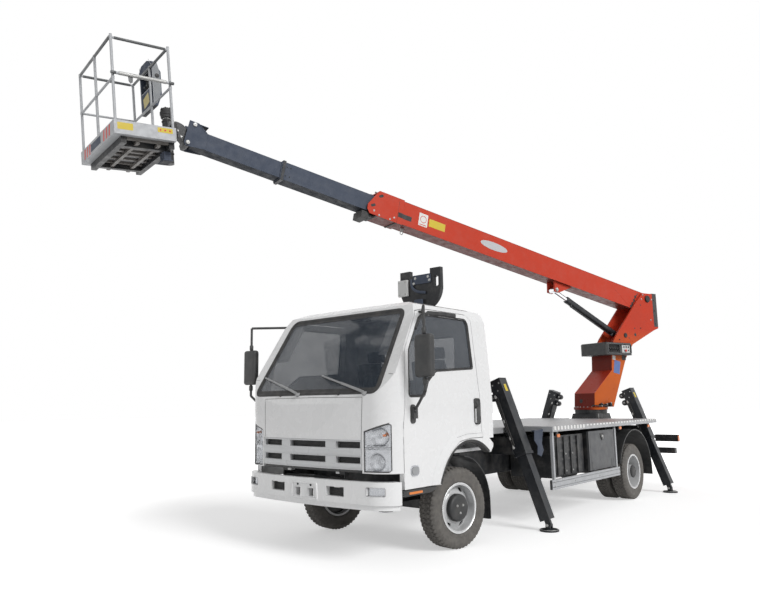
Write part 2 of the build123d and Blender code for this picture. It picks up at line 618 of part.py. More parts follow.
def plan_outline(inset, grow=0):
    """The cab's outline seen from above, moved inward by an inset."""
    half = CAB_HALF - inset
    front = CAB_FRONT - inset + grow
    with BuildSketch() as sketch:
        with BuildLine():
            nose = ThreePointArc((front - 52, half - 225), (front, 0), (front - 52, -half + 225))
            TangentArc(nose @ 1, (front - 232, -half), tangent=nose % 1)
            Line((front - 232, -half), (CAB_REAR - 90 + inset, -half))
            Line((CAB_REAR - 90 + inset, -half), (CAB_REAR - 90 + inset, half))
            Line((CAB_REAR - 90 + inset, half), (front - 232, half))
            TangentArc(nose @ 0, (front - 232, half), tangent=-(nose % 0))
        make_face()
    return sketch.sketch


def cab_form(inset):
    """The solid inside the cab's outer skin, moved inward by an inset."""
    with BuildPart() as form:
        with BuildSketch(Plane.XZ.offset(-1200)):
            add(side_outline(inset))
        extrude(amount=2400)
        with BuildSketch(Plane.YZ.offset(-800)):
            add(front_outline(inset))
        extrude(amount=2400, mode=Mode.INTERSECT)
        with BuildSketch(Plane.XY.offset(500)):
            add(plan_outline(inset))
        extrude(amount=2000, mode=Mode.INTERSECT)
    return form.part


def side_prism(outline, inner_y=640):
    """Both side prisms of an (x, z) outline, from an inner Y outward."""
    with BuildPart() as prism:
        for side in (1, -1):
            with BuildSketch(Plane.XZ.offset(-1200 if side > 0 else inner_y)):
                with BuildLine():
                    Polyline(*outline, close=True)
                make_face()
            extrude(amount=1200 - inner_y)
    return prism.part


def door_outline(gap):
    """The door's outline seen from the side, smaller by a gap on each edge."""
    return [(DOOR_FRONT - gap, DOOR_BOTTOM + gap), (DOOR_FRONT - gap, 1200), (DOOR_FRONT - 98 - gap, 1880),
            (640 - gap, 2268 - gap), (480, 2302 - gap), (DOOR_REAR + 60, 2302 - gap), (DOOR_REAR + gap, 2240),
            (DOOR_REAR + gap, SIDE_BOTTOM + gap), (ARCH_X, SIDE_BOTTOM + gap), (120, 1018 + gap), (290, 915 + gap),
            (400, 790 + gap), (455 + gap, DOOR_BOTTOM + gap)]


DOOR_WINDOW = [(858, 1462), (800, 1880), (600, 2200), (520, 2236), (DOOR_REAR + 110, 2236), (DOOR_REAR + 75, 2190),
               (DOOR_REAR + 75, 1740), (420, 1700), (560, 1600), (640, 1462)]
FLARE_RADIUS = 645
FLARE_PROUD = 16
with BuildPart() as flare:
    for side in (1, -1):
        with BuildSketch(Plane.XZ.offset(-CAB_HALF - FLARE_PROUD if side > 0 else CAB_HALF - 20)):
            with BuildLine():
                rim_line = CenterArc((ARCH_X, ARCH_Z), FLARE_RADIUS, 13, 120)
                hole_line = CenterArc((ARCH_X, ARCH_Z), ARCH_RADIUS, 13, 120)
                Line(rim_line @ 0, hole_line @ 0)
                Line(rim_line @ 1, hole_line @ 1)
            make_face()
        extrude(amount=FLARE_PROUD + 20)
    slab(CAB_REAR - 20, CAB_FRONT, -1100, 1100, DOOR_BOTTOM, 1300, mode=Mode.INTERSECT)
    outer_arcs = flare.edges().filter_by(GeomType.CIRCLE).filter_by(
        lambda edge: abs(edge.radius - FLARE_RADIUS) < 1 and abs(edge.center().Y) > CAB_HALF)
    chamfer(outer_arcs, FLARE_PROUD - 1, 40)
outer_form = cab_form(0)
inner_form = cab_form(CAB_WALL)
door_hole = side_prism(door_outline(0))
door_body = side_prism(door_outline(DOOR_GAP))
window_hole = side_prism(DOOR_WINDOW)

SCREEN_LOW = 1500
SCREEN_HIGH = 2290
SCREEN_HALF = 850
REAR_GLASS_LOW = 1640
REAR_GLASS_HIGH = 2120
with BuildPart() as screen_prism:
    with BuildSketch(Plane.YZ.offset(420)):
        with BuildLine():
            Polyline((-SCREEN_HALF, SCREEN_LOW), (SCREEN_HALF, SCREEN_LOW), (SCREEN_HALF - 60, SCREEN_HIGH),
                     (-SCREEN_HALF + 60, SCREEN_HIGH), close=True)
        make_face()
    extrude(amount=900)
    fillet(screen_prism.edges().filter_by(Axis.X), 80)
with BuildPart() as rear_prism:
    with BuildSketch(Plane.YZ.offset(-900)):
        with Locations((0, (REAR_GLASS_LOW + REAR_GLASS_HIGH) / 2)):
            RectangleRounded(1100, REAR_GLASS_HIGH - REAR_GLASS_LOW, 60)
    extrude(amount=560)

GRILLE_HALF = 680
GRILLE_LOW = 815
GRILLE_HIGH = 1078
GRILLE_ROWS = (899, 1033)
SLOT_HIGH = 56
SLOTS = ((-515, 280), (0, 490), (515, 280))
LAMP_IN = 696
LAMP_OUT = 945
LAMP_LOW = 800
LAMP_HIGH = 1150
LAMP_RISE = 75
LAMP_DEPTH = 70
FIREWALL_FRONT = CAB_FRONT - 110
FIREWALL_THICK = 40
with BuildPart() as face_prism:
    with BuildSketch(Plane.YZ.offset(FIREWALL_FRONT)):
        with Locations((0, (FACE_BOTTOM - 10 + GRILLE_HIGH) / 2)):
            Rectangle(2 * GRILLE_HALF, GRILLE_HIGH - FACE_BOTTOM + 10)
    extrude(amount=400)


def lamp_prism(side):
    """The prism that a headlamp fills, seen from the front."""
    with BuildPart() as prism:
        with BuildSketch(Plane.YZ.offset(900)):
            with BuildLine():
                lamp_top = LAMP_HIGH + LAMP_RISE
                Polyline((side * LAMP_IN, LAMP_LOW), (side * LAMP_IN, LAMP_HIGH), (side * (LAMP_OUT - 20), lamp_top),
                         (side * LAMP_OUT, lamp_top - 15), (side * LAMP_OUT, LAMP_LOW + 20),
                         (side * (LAMP_OUT - 20), LAMP_LOW), close=True)
            make_face()
        extrude(amount=400)
    return prism.part


lamp_pockets = [lamp_prism(side) - cab_form(LAMP_DEPTH) for side in (1, -1)]
with BuildPart() as cab_floor:
    add(cab_form(CAB_WALL / 2))
    slab(CAB_REAR + 20, FIREWALL_FRONT, -CAB_HALF, CAB_HALF, CAB_FLOOR, CAB_FLOOR + FLOOR_THICK, mode=Mode.INTERSECT)

with BuildPart() as cab_shell:
    add(outer_form)
    add(inner_form, mode=Mode.SUBTRACT)
    add(cab_floor.part)
    # Lower edges: sills, arch and the front above the bumper
    slab(CAB_REAR - 100, CAB_FRONT + 50, -CAB_HALF - 5, CAB_HALF + 5, 560, DOOR_BOTTOM, mode=Mode.SUBTRACT)
    slab(DOOR_FRONT, CAB_FRONT + 50, -CAB_HALF - 5, CAB_HALF + 5, 560, FACE_BOTTOM, mode=Mode.SUBTRACT)
    for plane_y in (-CAB_HALF - 5, CAB_HALF + 5 - 140):
        with BuildSketch(Plane.XZ.offset(plane_y)):
            with BuildLine():
                arch = CenterArc((ARCH_X, ARCH_Z), ARCH_RADIUS, 14.5, 75.5)
                Polyline(arch @ 1, (CAB_REAR - 100, ARCH_Z + ARCH_RADIUS), (CAB_REAR - 100, 560),
                         ((arch @ 0).X, 560), arch @ 0)
            make_face()
        extrude(amount=140, mode=Mode.SUBTRACT)
    slab(CAB_REAR - 100, CAB_REAR + 80, -CAB_HALF + 100, CAB_HALF - 100, 560, CAB_FLOOR, mode=Mode.SUBTRACT)
    add(flare.part)
    add(door_hole, mode=Mode.SUBTRACT)
    add(screen_prism.part, mode=Mode.SUBTRACT)
    add(rear_prism.part, mode=Mode.SUBTRACT)
    add(face_prism.part, mode=Mode.SUBTRACT)
    for pocket in lamp_pockets:
        add(pocket, mode=Mode.SUBTRACT)
    # Firewall behind the grille and lamps
    slab(FIREWALL_FRONT - FIREWALL_THICK, FIREWALL_FRONT, -GRILLE_HALF, GRILLE_HALF, FACE_BOTTOM + 40, 1300)
    # Seat base over the engine
    slab(CAB_REAR + 60, 330, -CAB_HALF + 330, CAB_HALF - 330, CAB_FLOOR + FLOOR_THICK, 1180)
    # Tilt hinge lugs under the floor
    for side in (1, -1):
        slab(TILT_X - 30, TILT_X + 22, side * (LUG_IN - RUN_GAP), side * (LUG_IN - 50), TILT_Z - 24, CAB_FLOOR + 20)
        rod((TILT_X, side * (LUG_IN - 80), TILT_Z), (TILT_X, side * LUG_IN, TILT_Z), TILT_PIN + SEAT_GAP,
            mode=Mode.SUBTRACT)
keep(cab_shell, "cab_shell")

# Windscreen and rear window
with BuildPart() as windscreen:
    add(cab_form(2))
    add(cab_form(2 + GLASS_THICK), mode=Mode.SUBTRACT)
    add(screen_prism.part, mode=Mode.INTERSECT)
keep(windscreen, "windscreen")
with BuildPart() as rear_window:
    add(cab_form(10))
    add(cab_form(10 + GLASS_THICK), mode=Mode.SUBTRACT)
    add(rear_prism.part, mode=Mode.INTERSECT)
keep(rear_window, "rear_window")

# Grille: bright bars between two rows of slots
with BuildPart() as grille:
    add(cab_form(4))
    add(cab_form(60), mode=Mode.SUBTRACT)
    slab(900, 1300, -GRILLE_HALF + SEAT_GAP, GRILLE_HALF - SEAT_GAP, GRILLE_LOW + SEAT_GAP, GRILLE_HIGH - SEAT_GAP,
         mode=Mode.INTERSECT)
    for row_z in GRILLE_ROWS:
        for column_y, width in SLOTS:
            slab(900, 1300, column_y - width / 2, column_y + width / 2, row_z - SLOT_HIGH / 2, row_z + SLOT_HIGH / 2,
                 mode=Mode.SUBTRACT)
keep(grille, "grille")

# Headlamps fill their corners of the face
with BuildPart() as headlamps:
    for pocket in lamp_pockets:
        add(cab_form(3) & pocket)
keep(headlamps, "headlamps")

# Seats: the driver's and a double passenger seat
SEAT_LOW = 1180
with BuildPart() as seats:
    for y0, y1 in ((160, 640), (-660, 110)):
        with BuildSketch(Plane.XZ.offset(-y1)):
            with BuildLine():
                Polyline((260, SEAT_LOW), (300, SEAT_LOW + 90), (280, SEAT_LOW + 130), (-150, SEAT_LOW + 110),
                         (-300, SEAT_LOW + 700), (-370, SEAT_LOW + 700), (-270, SEAT_LOW), close=True)
            make_face()
        extrude(amount=y1 - y0)
    fillet(seats.edges().filter_by(Axis.Y).group_by(Axis.Z)[-1], 25)
keep(seats, "seats")

# Dashboard with the column and the steering wheel
WHEEL_Y = 400
DASH_HALF = 860
DASH_LOW = LAMP_HIGH + LAMP_RISE + 15
DASH_FRONT = FIREWALL_FRONT - FIREWALL_THICK - SEAT_GAP
with BuildPart() as dashboard:
    with BuildSketch(Plane.XZ.offset(-DASH_HALF)):
        with BuildLine():
            Polyline((860, DASH_LOW), (800, 1330), (850, 1430), (DASH_FRONT, 1440), (DASH_FRONT, DASH_LOW), close=True)
        make_face()
    extrude(amount=2 * DASH_HALF)
    rod((880, WHEEL_Y, 1330), (600, WHEEL_Y, 1506), 28)
    wheel_plane = Plane(origin=(600, WHEEL_Y, 1506), z_dir=(-270, 0, 170))
    with BuildSketch(Plane(origin=wheel_plane.origin, x_dir=(0, 1, 0), z_dir=wheel_plane.x_dir)):
        with Locations((200, 0)):
            Circle(15)
    revolve(axis=Axis(wheel_plane.origin, wheel_plane.z_dir))
    with BuildSketch(wheel_plane.offset(-8)):
        Circle(55)
        Rectangle(395, 36)
    extrude(amount=16)
keep(dashboard, "dashboard")

# Doors with their glass, and the mirrors on their arms
MIRROR_X = 905
MIRROR_Y = 1215
for name, side in SIDES:
    half_space = (0, 1300) if side > 0 else (-1300, 0)
    with BuildPart() as door:
        add(outer_form)
        add(inner_form, mode=Mode.SUBTRACT)
        add(flare.part)
        add(door_body, mode=Mode.INTERSECT)
        add(window_hole, mode=Mode.SUBTRACT)
        slab(-1000, 1400, half_space[0], half_space[1], 500, 2500, mode=Mode.INTERSECT)
        slab(-215, -175, side * (CAB_HALF - 4), side * (CAB_HALF + 22), 1190, 1330)
        hinge_x, hinge_y = DOOR_FRONT - DOOR_GAP / 2, side * (CAB_HALF - 4)
        for z in (720, 1100):
            rod((hinge_x, hinge_y, z), (hinge_x, hinge_y, z + 70), DOOR_GAP / 2 - SEAT_GAP)
            slab(hinge_x - DOOR_GAP, hinge_x, hinge_y - 2, hinge_y + 2, z, z + 70)
    keep(door, f"door_{name}")
    with BuildPart() as door_glass:
        add(cab_form(12))
        add(cab_form(12 + GLASS_THICK), mode=Mode.SUBTRACT)
        add(window_hole, mode=Mode.INTERSECT)
        slab(-1000, 1400, half_space[0], half_space[1], 500, 2500, mode=Mode.INTERSECT)
    keep(door_glass, f"door_glass_{name}")
    with BuildPart() as mirror_part:
        slab(MIRROR_X - 40, MIRROR_X + 40, side * (MIRROR_Y - 95), side * (MIRROR_Y + 95), 1620, 2000)
        fillet(mirror_part.edges(), 30)
        rod((MIRROR_X, side * MIRROR_Y, 1500), (MIRROR_X, side * MIRROR_Y, 2250), 13)
        rod((MIRROR_X, side * MIRROR_Y, 1500), (830, side * (CAB_HALF + 20), 1320), 13)
        rod((MIRROR_X, side * MIRROR_Y, 2250), (560, side * (CAB_HALF - 70), 2259), 13)
        slab(530, 590, side * (CAB_HALF - 93.2), side * (CAB_HALF - 60), 2250, 2268)
        slab(800, 860, side * CAB_HALF, side * (CAB_HALF + 40), 1260, 1360)
    keep(mirror_part, f"mirror_{name}")

# Front bumper: it wraps the corners and has two air holes
BUMPER_LOW = 480
BUMPER_HIGH = 722
BUMPER_REAR = 1000
BUMPER_STEP = 525
BUMPER_PROUD = 24
BUMPER_WALL = 50
FOG_DEPTH = 26
PLATE_HOLE_Y = 88
with BuildPart() as fog_recess:
    for side in (1, -1):
        slab(900, 1300, side * 745, side * 912, 604, 674)
    with BuildSketch(Plane.XY.offset(BUMPER_LOW)):
        add(plan_outline(FOG_DEPTH - 6, BUMPER_PROUD))
    extrude(amount=BUMPER_HIGH - BUMPER_LOW, mode=Mode.SUBTRACT)
with BuildPart() as front_bumper:
    for low, high, inset in ((BUMPER_LOW, BUMPER_STEP, 10), (BUMPER_STEP, BUMPER_HIGH, -6)):
        with BuildSketch(Plane.XY.offset(low)):
            add(plan_outline(inset, BUMPER_PROUD))
        extrude(amount=high - low)
    with BuildSketch(Plane.XY.offset(BUMPER_LOW)):
        add(plan_outline(BUMPER_WALL - 6, BUMPER_PROUD))
    extrude(amount=BUMPER_HIGH - BUMPER_LOW, mode=Mode.SUBTRACT)
    slab(-1000, BUMPER_REAR, -1300, 1300, BUMPER_LOW, BUMPER_HIGH, mode=Mode.SUBTRACT)
    add(fog_recess.part, mode=Mode.SUBTRACT)
    for side in (1, -1):
        slab(1100, 1300, side * 285, side * 495, 582, 664, mode=Mode.SUBTRACT)
        slab(1100, 1300, side * (PLATE_HOLE_Y - 32), side * (PLATE_HOLE_Y + 32), 560, 632, mode=Mode.SUBTRACT)
        slab(FRAME_FRONT, 1180, side * (RAIL_OUT - RAIL_FLANGE), side * RAIL_OUT, 655, 715)
keep(front_bumper, "front_bumper")

# Boom rest behind the cab
REST_X = -610
REST_TOP = PIVOT_Z + BOOM_TOP - OUTER_HEIGHT - 4
HORN_IN = OUTER_WIDTH / 2 + 20
HORN_OUT = 300
HORN_UP = 60
with BuildPart() as boom_rest:
    slab(REST_X - 90, REST_X - 5, -60, 60, RAIL_TOP, 2600)
    slab(REST_X - 90, REST_X - 5, -RAIL_OUT, RAIL_OUT, RAIL_TOP, RAIL_TOP + 100)
    with BuildSketch(Plane.YZ.offset(REST_X - 75)):
        with BuildLine():
            right_side = ThreePointArc((-90, 2480), (-230, 2560), (-HORN_OUT, 2720))
            left_side = ThreePointArc((90, 2480), (230, 2560), (HORN_OUT, 2720))
            Polyline(right_side @ 1, (-HORN_OUT, REST_TOP + HORN_UP), (-HORN_IN, REST_TOP + HORN_UP),
                     (-HORN_IN, REST_TOP), (HORN_IN, REST_TOP), (HORN_IN, REST_TOP + HORN_UP),
                     (HORN_OUT, REST_TOP + HORN_UP), left_side @ 1)
            Line(right_side @ 0, left_side @ 0)
        make_face()
        with Locations((-235, 2800), (235, 2800)):
            RectangleRounded(70, 120, 20, mode=Mode.SUBTRACT)
    extrude(amount=55)
keep(boom_rest, "boom_rest")

# Turret: a leaning column, open side plates above it and the boom's pivot
TURRET_PLACE = Location((SLEW_X, 0, 0), (0, 0, -SLEW_REST))
COLUMN_HALF = 210
CHEEK = 30
CHEEK_Y = OUTER_WIDTH / 2 + 14
COVER_FRONT = -PIVOT_BACK - hypot(BOOM_TAIL, BOOM_TOP) - 10
COVER_REAR = -PIVOT_BACK - 260
with BuildPart() as turret:
    with Locations((0, 0, RING_TOP - RING_THICK / 2)):
        Cylinder(270, RING_THICK)
    plate([(150, RING_TOP), (130, 1500), (-330, 1880), (-350, 2250), (-960, 2380), (-704, 2082), (-315, RING_TOP)],
          -COLUMN_HALF, COLUMN_HALF)
    cheek = [(-350, 2200), (-500, 2420), (-1130, 3080), (-PIVOT_BACK + 110, PIVOT_Z + 100),
             (COVER_FRONT, PIVOT_Z + 100), (COVER_FRONT, 2600), (-960, 2330)]
    for side in (1, -1):
        plate(cheek, side * CHEEK_Y, side * (CHEEK_Y + CHEEK))
    plate([(COVER_FRONT, 2600), (COVER_REAR, 2640), (COVER_REAR, PIVOT_Z + 60), (COVER_FRONT, PIVOT_Z + 100)],
          -CHEEK_Y - CHEEK, CHEEK_Y + CHEEK)
    across(-PIVOT_BACK, PIVOT_Z, PIN_RADIUS, CHEEK_Y + CHEEK + 20)
    across(CYL_FOOT_R, CYL_FOOT_Z, 25, CHEEK_Y + CHEEK)
keep(turret, "turret", TURRET_PLACE)

# Control console round the column
CONSOLE_HIGH = 205
POCKET_DEPTH = 70
with BuildPart() as control_console:
    with BuildSketch(Plane.XY.offset(2127)):
        with Locations((-425, 40)):
            RectangleRounded(660, 570, 60)
    extrude(amount=CONSOLE_HIGH)
    fillet(control_console.faces().sort_by(Axis.Z)[-1].edges(), 25)
    slab(-700, -150, 325 - POCKET_DEPTH, 400, 2127 + 35, 2127 + CONSOLE_HIGH - 35, mode=Mode.SUBTRACT)
    plate([(150, RING_TOP), (130, 1500), (-330 + SEAT_GAP, 1880), (-350 + SEAT_GAP, 2400), (-1100, 2400), (-704, 2082),
           (-315, RING_TOP)], -COLUMN_HALF - SEAT_GAP, COLUMN_HALF + SEAT_GAP, mode=Mode.SUBTRACT)
keep(control_console, "control_console", TURRET_PLACE)

# Boom: three box sections that slide in each other, drawn along +X from the luff pivot
LUFF_PLACE = TURRET_PLACE * Location((-PIVOT_BACK, 0, PIVOT_Z), (0, -LUFF_REST, 0))
OUTER_LOW = BOOM_TOP - OUTER_HEIGHT
EYE_Z = OUTER_LOW - CYL_EYE_DROP
EYE_LUG_IN = BARREL_RADIUS + 7
EYE_LUG_OUT = EYE_LUG_IN + 24
COLLAR = 12
with BuildPart() as boom_outer:
    plate([(-BOOM_TAIL, BOOM_TOP), (OUTER_END, BOOM_TOP), (OUTER_END, OUTER_LOW), (360, OUTER_LOW), (-BOOM_TAIL, -60)],
          -OUTER_WIDTH / 2, OUTER_WIDTH / 2)
    slab(OUTER_END - 420, OUTER_END, -OUTER_WIDTH / 2 - COLLAR, OUTER_WIDTH / 2 + COLLAR, OUTER_LOW - COLLAR,
         BOOM_TOP + COLLAR)
    slab(420, OUTER_END, -OUTER_WIDTH / 2 + OUTER_WALL, OUTER_WIDTH / 2 - OUTER_WALL, OUTER_LOW + OUTER_WALL,
         BOOM_TOP - OUTER_WALL, mode=Mode.SUBTRACT)
    across(0, 0, PIN_RADIUS + SEAT_GAP, OUTER_WIDTH, mode=Mode.SUBTRACT)
    for side in (1, -1):
        plate([(CYL_EYE_X - 330, OUTER_LOW), (CYL_EYE_X + 70, OUTER_LOW), (CYL_EYE_X + 45, EYE_Z - 40),
               (CYL_EYE_X - 45, EYE_Z - 40)], side * EYE_LUG_IN, side * EYE_LUG_OUT)
    across(CYL_EYE_X, EYE_Z, 20, EYE_LUG_OUT + 5, mode=Mode.SUBTRACT)
    # Slide pads at the mouth, above, below and beside the middle section
    pad_gap = SEAT_GAP
    mid_top = BOOM_AXIS + MID_HEIGHT / 2 + pad_gap
    mid_low = BOOM_AXIS - MID_HEIGHT / 2 - pad_gap
    slab(OUTER_END - 160, OUTER_END - 20, -70, 70, mid_top, BOOM_TOP - OUTER_WALL)
    slab(OUTER_END - 160, OUTER_END - 20, -70, 70, OUTER_LOW + OUTER_WALL, mid_low)
    for side in (1, -1):
        slab(OUTER_END - 160, OUTER_END - 20, side * (MID_WIDTH / 2 + pad_gap), side * (OUTER_WIDTH / 2 - OUTER_WALL),
             BOOM_AXIS - 60, BOOM_AXIS + 60)
keep(boom_outer, "boom_outer", LUFF_PLACE)


def slide_section(start, end, width, height, wall):
    """A hollow box section along X about the boom's sliding line."""
    slab(start, end, -width / 2, width / 2, BOOM_AXIS - height / 2, BOOM_AXIS + height / 2)
    slab(start, end, -width / 2 + wall, width / 2 - wall, BOOM_AXIS - height / 2 + wall, BOOM_AXIS + height / 2 - wall,
         mode=Mode.SUBTRACT)


MID_START = MID_END - MID_LENGTH
INNER_START = INNER_END - INNER_LENGTH
with BuildPart() as boom_mid:
    slide_section(MID_START, MID_END, MID_WIDTH, MID_HEIGHT, MID_WALL)
    slab(MID_END - 40, MID_END - 25, -MID_WIDTH / 2 - 9, MID_WIDTH / 2 + 9, BOOM_AXIS + MID_HEIGHT / 2,
         BOOM_AXIS + MID_HEIGHT / 2 + 12)
    slab(MID_END - 40, MID_END - 25, -MID_WIDTH / 2 - 9, MID_WIDTH / 2 + 9, BOOM_AXIS - MID_HEIGHT / 2 - 12,
         BOOM_AXIS - MID_HEIGHT / 2)
    room = (MID_WIDTH - 2 * MID_WALL - INNER_WIDTH) / 2
    for side in (1, -1):
        slab(MID_END - 140, MID_END - 20, side * (INNER_WIDTH / 2 + SEAT_GAP), side * (MID_WIDTH / 2 - MID_WALL),
             BOOM_AXIS - 60, BOOM_AXIS + 60)
        slab(MID_END - 140, MID_END - 20, -50, 50, BOOM_AXIS + side * (INNER_HEIGHT / 2 + SEAT_GAP),
             BOOM_AXIS + side * (MID_HEIGHT / 2 - MID_WALL))
keep(boom_mid, "boom_mid", LUFF_PLACE)

FORK_HALF = INNER_WIDTH / 2
with BuildPart() as boom_inner:
    slide_section(INNER_START, INNER_END, INNER_WIDTH, INNER_HEIGHT, MID_WALL)
    for side in (1, -1):
        plate([(INNER_END - 170, BOOM_AXIS - INNER_HEIGHT / 2), (INNER_END - 150, BOOM_AXIS + INNER_HEIGHT / 2),
               (INNER_END - 30, BOOM_AXIS + 190), (LEVEL_X + 30, BOOM_AXIS + 190), (LEVEL_X + 45, LEVEL_Z),
               (LEVEL_X + 20, LEVEL_Z - 40), (LEVEL_X - 40, LEVEL_Z - 40)],
              side * FORK_HALF, side * (FORK_HALF + 14))
    across(LEVEL_X, LEVEL_Z, 20, FORK_HALF + 24)
keep(boom_inner, "boom_inner", LUFF_PLACE)

# Luff cylinder between the turret's foot pin and the lug under the boom
EYE_R = -PIVOT_BACK + CYL_EYE_X * cos(LUFF_TURN) - EYE_Z * sin(LUFF_TURN)
EYE_HIGH = PIVOT_Z + CYL_EYE_X * sin(LUFF_TURN) + EYE_Z * cos(LUFF_TURN)
CYL_LENGTH = hypot(EYE_R - CYL_FOOT_R, EYE_HIGH - CYL_FOOT_Z)
CYL_ANGLE = degrees(atan2(EYE_HIGH - CYL_FOOT_Z, EYE_R - CYL_FOOT_R))
CYL_PLACE = TURRET_PLACE * Location((CYL_FOOT_R, 0, CYL_FOOT_Z), (0, -CYL_ANGLE, 0))
BARREL_END = 1330
BORE = ROD_RADIUS + SEAT_GAP
with BuildPart() as luff_barrel:
    rod((0, 0, 0), (BARREL_END, 0, 0), BARREL_RADIUS)
    across(0, 0, 48, 45)
    rod((60, 0, 0), (BARREL_END + 1, 0, 0), BORE, mode=Mode.SUBTRACT)
    across(0, 0, 25 + SEAT_GAP, 60, mode=Mode.SUBTRACT)
keep(luff_barrel, "luff_barrel", CYL_PLACE)
with BuildPart() as luff_rod:
    rod((CYL_LENGTH - 1420, 0, 0), (CYL_LENGTH - CYL_EYE_RADIUS + 5, 0, 0), ROD_RADIUS)
    across(CYL_LENGTH, 0, CYL_EYE_RADIUS, EYE_LUG_IN - 7)
keep(luff_rod, "luff_rod", CYL_PLACE)

# Basket carrier: an arm from the boom's tip to the swing post, parked a few degrees nose down about its pin
LEVEL_PIN = Location((LEVEL_R, 0, LEVEL_HIGH))
CARRIER_PLACE = TURRET_PLACE * LEVEL_PIN * Location((0, 0, 0), (0, LEVEL_TILT, 0)) * LEVEL_PIN.inverse()
POST_RADIUS = 55
POST_LOW = BASKET_FLOOR + 40
POST_HIGH = POST_LOW + 420
ARM_HALF = 60
with BuildPart() as basket_carrier:
    across(LEVEL_R, LEVEL_HIGH, 42, FORK_HALF - RUN_GAP)
    with BuildSketch(Plane.XZ.offset(-ARM_HALF)) as arm:
        with BuildLine():
            back = ThreePointArc((LEVEL_R - 38, LEVEL_HIGH + 10), (LEVEL_R + 60, POST_HIGH - 29),
                                 (SWING_R, POST_HIGH - 25))
            belly = ThreePointArc((LEVEL_R + 40, LEVEL_HIGH - 20), (LEVEL_R + 95, LEVEL_HIGH + 75),
                                  (SWING_R, POST_LOW + 200))
            Polyline(back @ 0, (LEVEL_R - 5, LEVEL_HIGH - 40), belly @ 0)
            Line(back @ 1, belly @ 1)
        make_face()
    extrude(arm.sketch, amount=2 * ARM_HALF)
    across(LEVEL_R, LEVEL_HIGH, 20 + SEAT_GAP, 200, mode=Mode.SUBTRACT)
    rod((SWING_R, 0, POST_LOW), (SWING_R, 0, POST_HIGH), POST_RADIUS)
    rod((SWING_R, 0, POST_LOW), (SWING_R, 0, POST_HIGH), 25 + SEAT_GAP, mode=Mode.SUBTRACT)
keep(basket_carrier, "basket_carrier", CARRIER_PLACE)

# Basket: tube cage on a floor tray with toe boards, and the frame below it that holds the swing pin
BASKET_PLACE = CARRIER_PLACE * Location((SWING_R, 0, 0), (0, 0, SWING_REST))
REAR = BASKET_AHEAD
FRONT = REAR + BASKET_DEPTH
HALF = BASKET_WIDTH / 2
TOE = 150
FLOOR_UP = BASKET_FLOOR + 12
TOP_RAIL = BASKET_FLOOR + BASKET_HEIGHT - TUBE
RAIL_TUBE = TUBE - 2
MID_RAIL = BASKET_FLOOR + 620
with BuildPart() as basket_cage:
    slab(REAR - 25, FRONT + 25, -HALF - 25, HALF + 25, BASKET_FLOOR, BASKET_FLOOR + TOE)
    slab(REAR - 22, FRONT + 22, -HALF - 22, HALF + 22, FLOOR_UP, BASKET_FLOOR + TOE, mode=Mode.SUBTRACT)
    for x, y in ((REAR, HALF), (REAR, 0), (REAR, -HALF), (FRONT, HALF), (FRONT, -HALF), (FRONT, 0)):
        slab(x - 23, x + 23, y - 23, y + 23, FLOOR_UP, FLOOR_UP + 60)
        rod((x, y, FLOOR_UP - 4), (x, y, TOP_RAIL + TUBE), TUBE)
    for z in (MID_RAIL, TOP_RAIL):
        for x in (REAR, FRONT):
            rod((x, -HALF, z), (x, HALF, z), RAIL_TUBE)
        rod((REAR, -HALF, z), (FRONT, -HALF, z), RAIL_TUBE)
    rod((REAR, HALF, TOP_RAIL - 20), (FRONT, HALF, TOP_RAIL - 20), RAIL_TUBE)
keep(basket_cage, "basket_cage", BASKET_PLACE)
with BuildPart() as basket_frame:
    for y in (-420, 360):
        slab(REAR - 20, FRONT - 60, y, y + 60, BASKET_FLOOR - 70, BASKET_FLOOR)
    for x in (REAR - 20, FRONT - 120):
        slab(x, x + 60, -520, 520, BASKET_FLOOR - 70, BASKET_FLOOR)
    slab(0, REAR, -POST_RADIUS, POST_RADIUS, BASKET_FLOOR - 70, BASKET_FLOOR)
    rod((0, 0, BASKET_FLOOR - 70), (0, 0, POST_LOW - RUN_GAP), POST_RADIUS)
    rod((0, 0, BASKET_FLOOR), (0, 0, POST_HIGH + 12), 25)
    with Locations((0, 0, POST_HIGH + 12)):
        Cylinder(45, 14)
keep(basket_frame, "basket_frame", BASKET_PLACE)
# Control box outside the rear rails, with a hood over the pocket that faces the people
BOX_LEFT = 45
BOX_RIGHT = -350
BOX_FRONT = REAR - TUBE - SEAT_GAP
BOX_BACK = BOX_FRONT - 100
HOOD_TOP = TOP_RAIL + 115
with BuildPart() as basket_console:
    plate([(BOX_FRONT, MID_RAIL - 5), (BOX_FRONT, TOP_RAIL + TUBE + 5), (BOX_FRONT + 20, HOOD_TOP),
           (BOX_FRONT - 5, HOOD_TOP), (BOX_BACK, TOP_RAIL - 45), (BOX_BACK, TOP_RAIL - 320),
           (BOX_BACK + 55, MID_RAIL - 5)], BOX_RIGHT, BOX_LEFT)
    hood_ends = basket_console.edges().filter_by(Axis.X).group_by(Axis.Z)[-1]
    chamfer(hood_ends, 110, 45)
    slab(BOX_FRONT - 60, BOX_FRONT, BOX_RIGHT + 25, BOX_LEFT - 25, TOP_RAIL - 210, TOP_RAIL - 15, mode=Mode.SUBTRACT)
keep(basket_console, "basket_console", BASKET_PLACE)
with BuildPart() as gate_bar:
    bar_y = HALF + 2 * TUBE + SEAT_GAP
    rod((REAR - 30, bar_y, MID_RAIL + 40), (FRONT + 30, bar_y, MID_RAIL + 40), TUBE)
keep(gate_bar, "gate_bar", BASKET_PLACE)

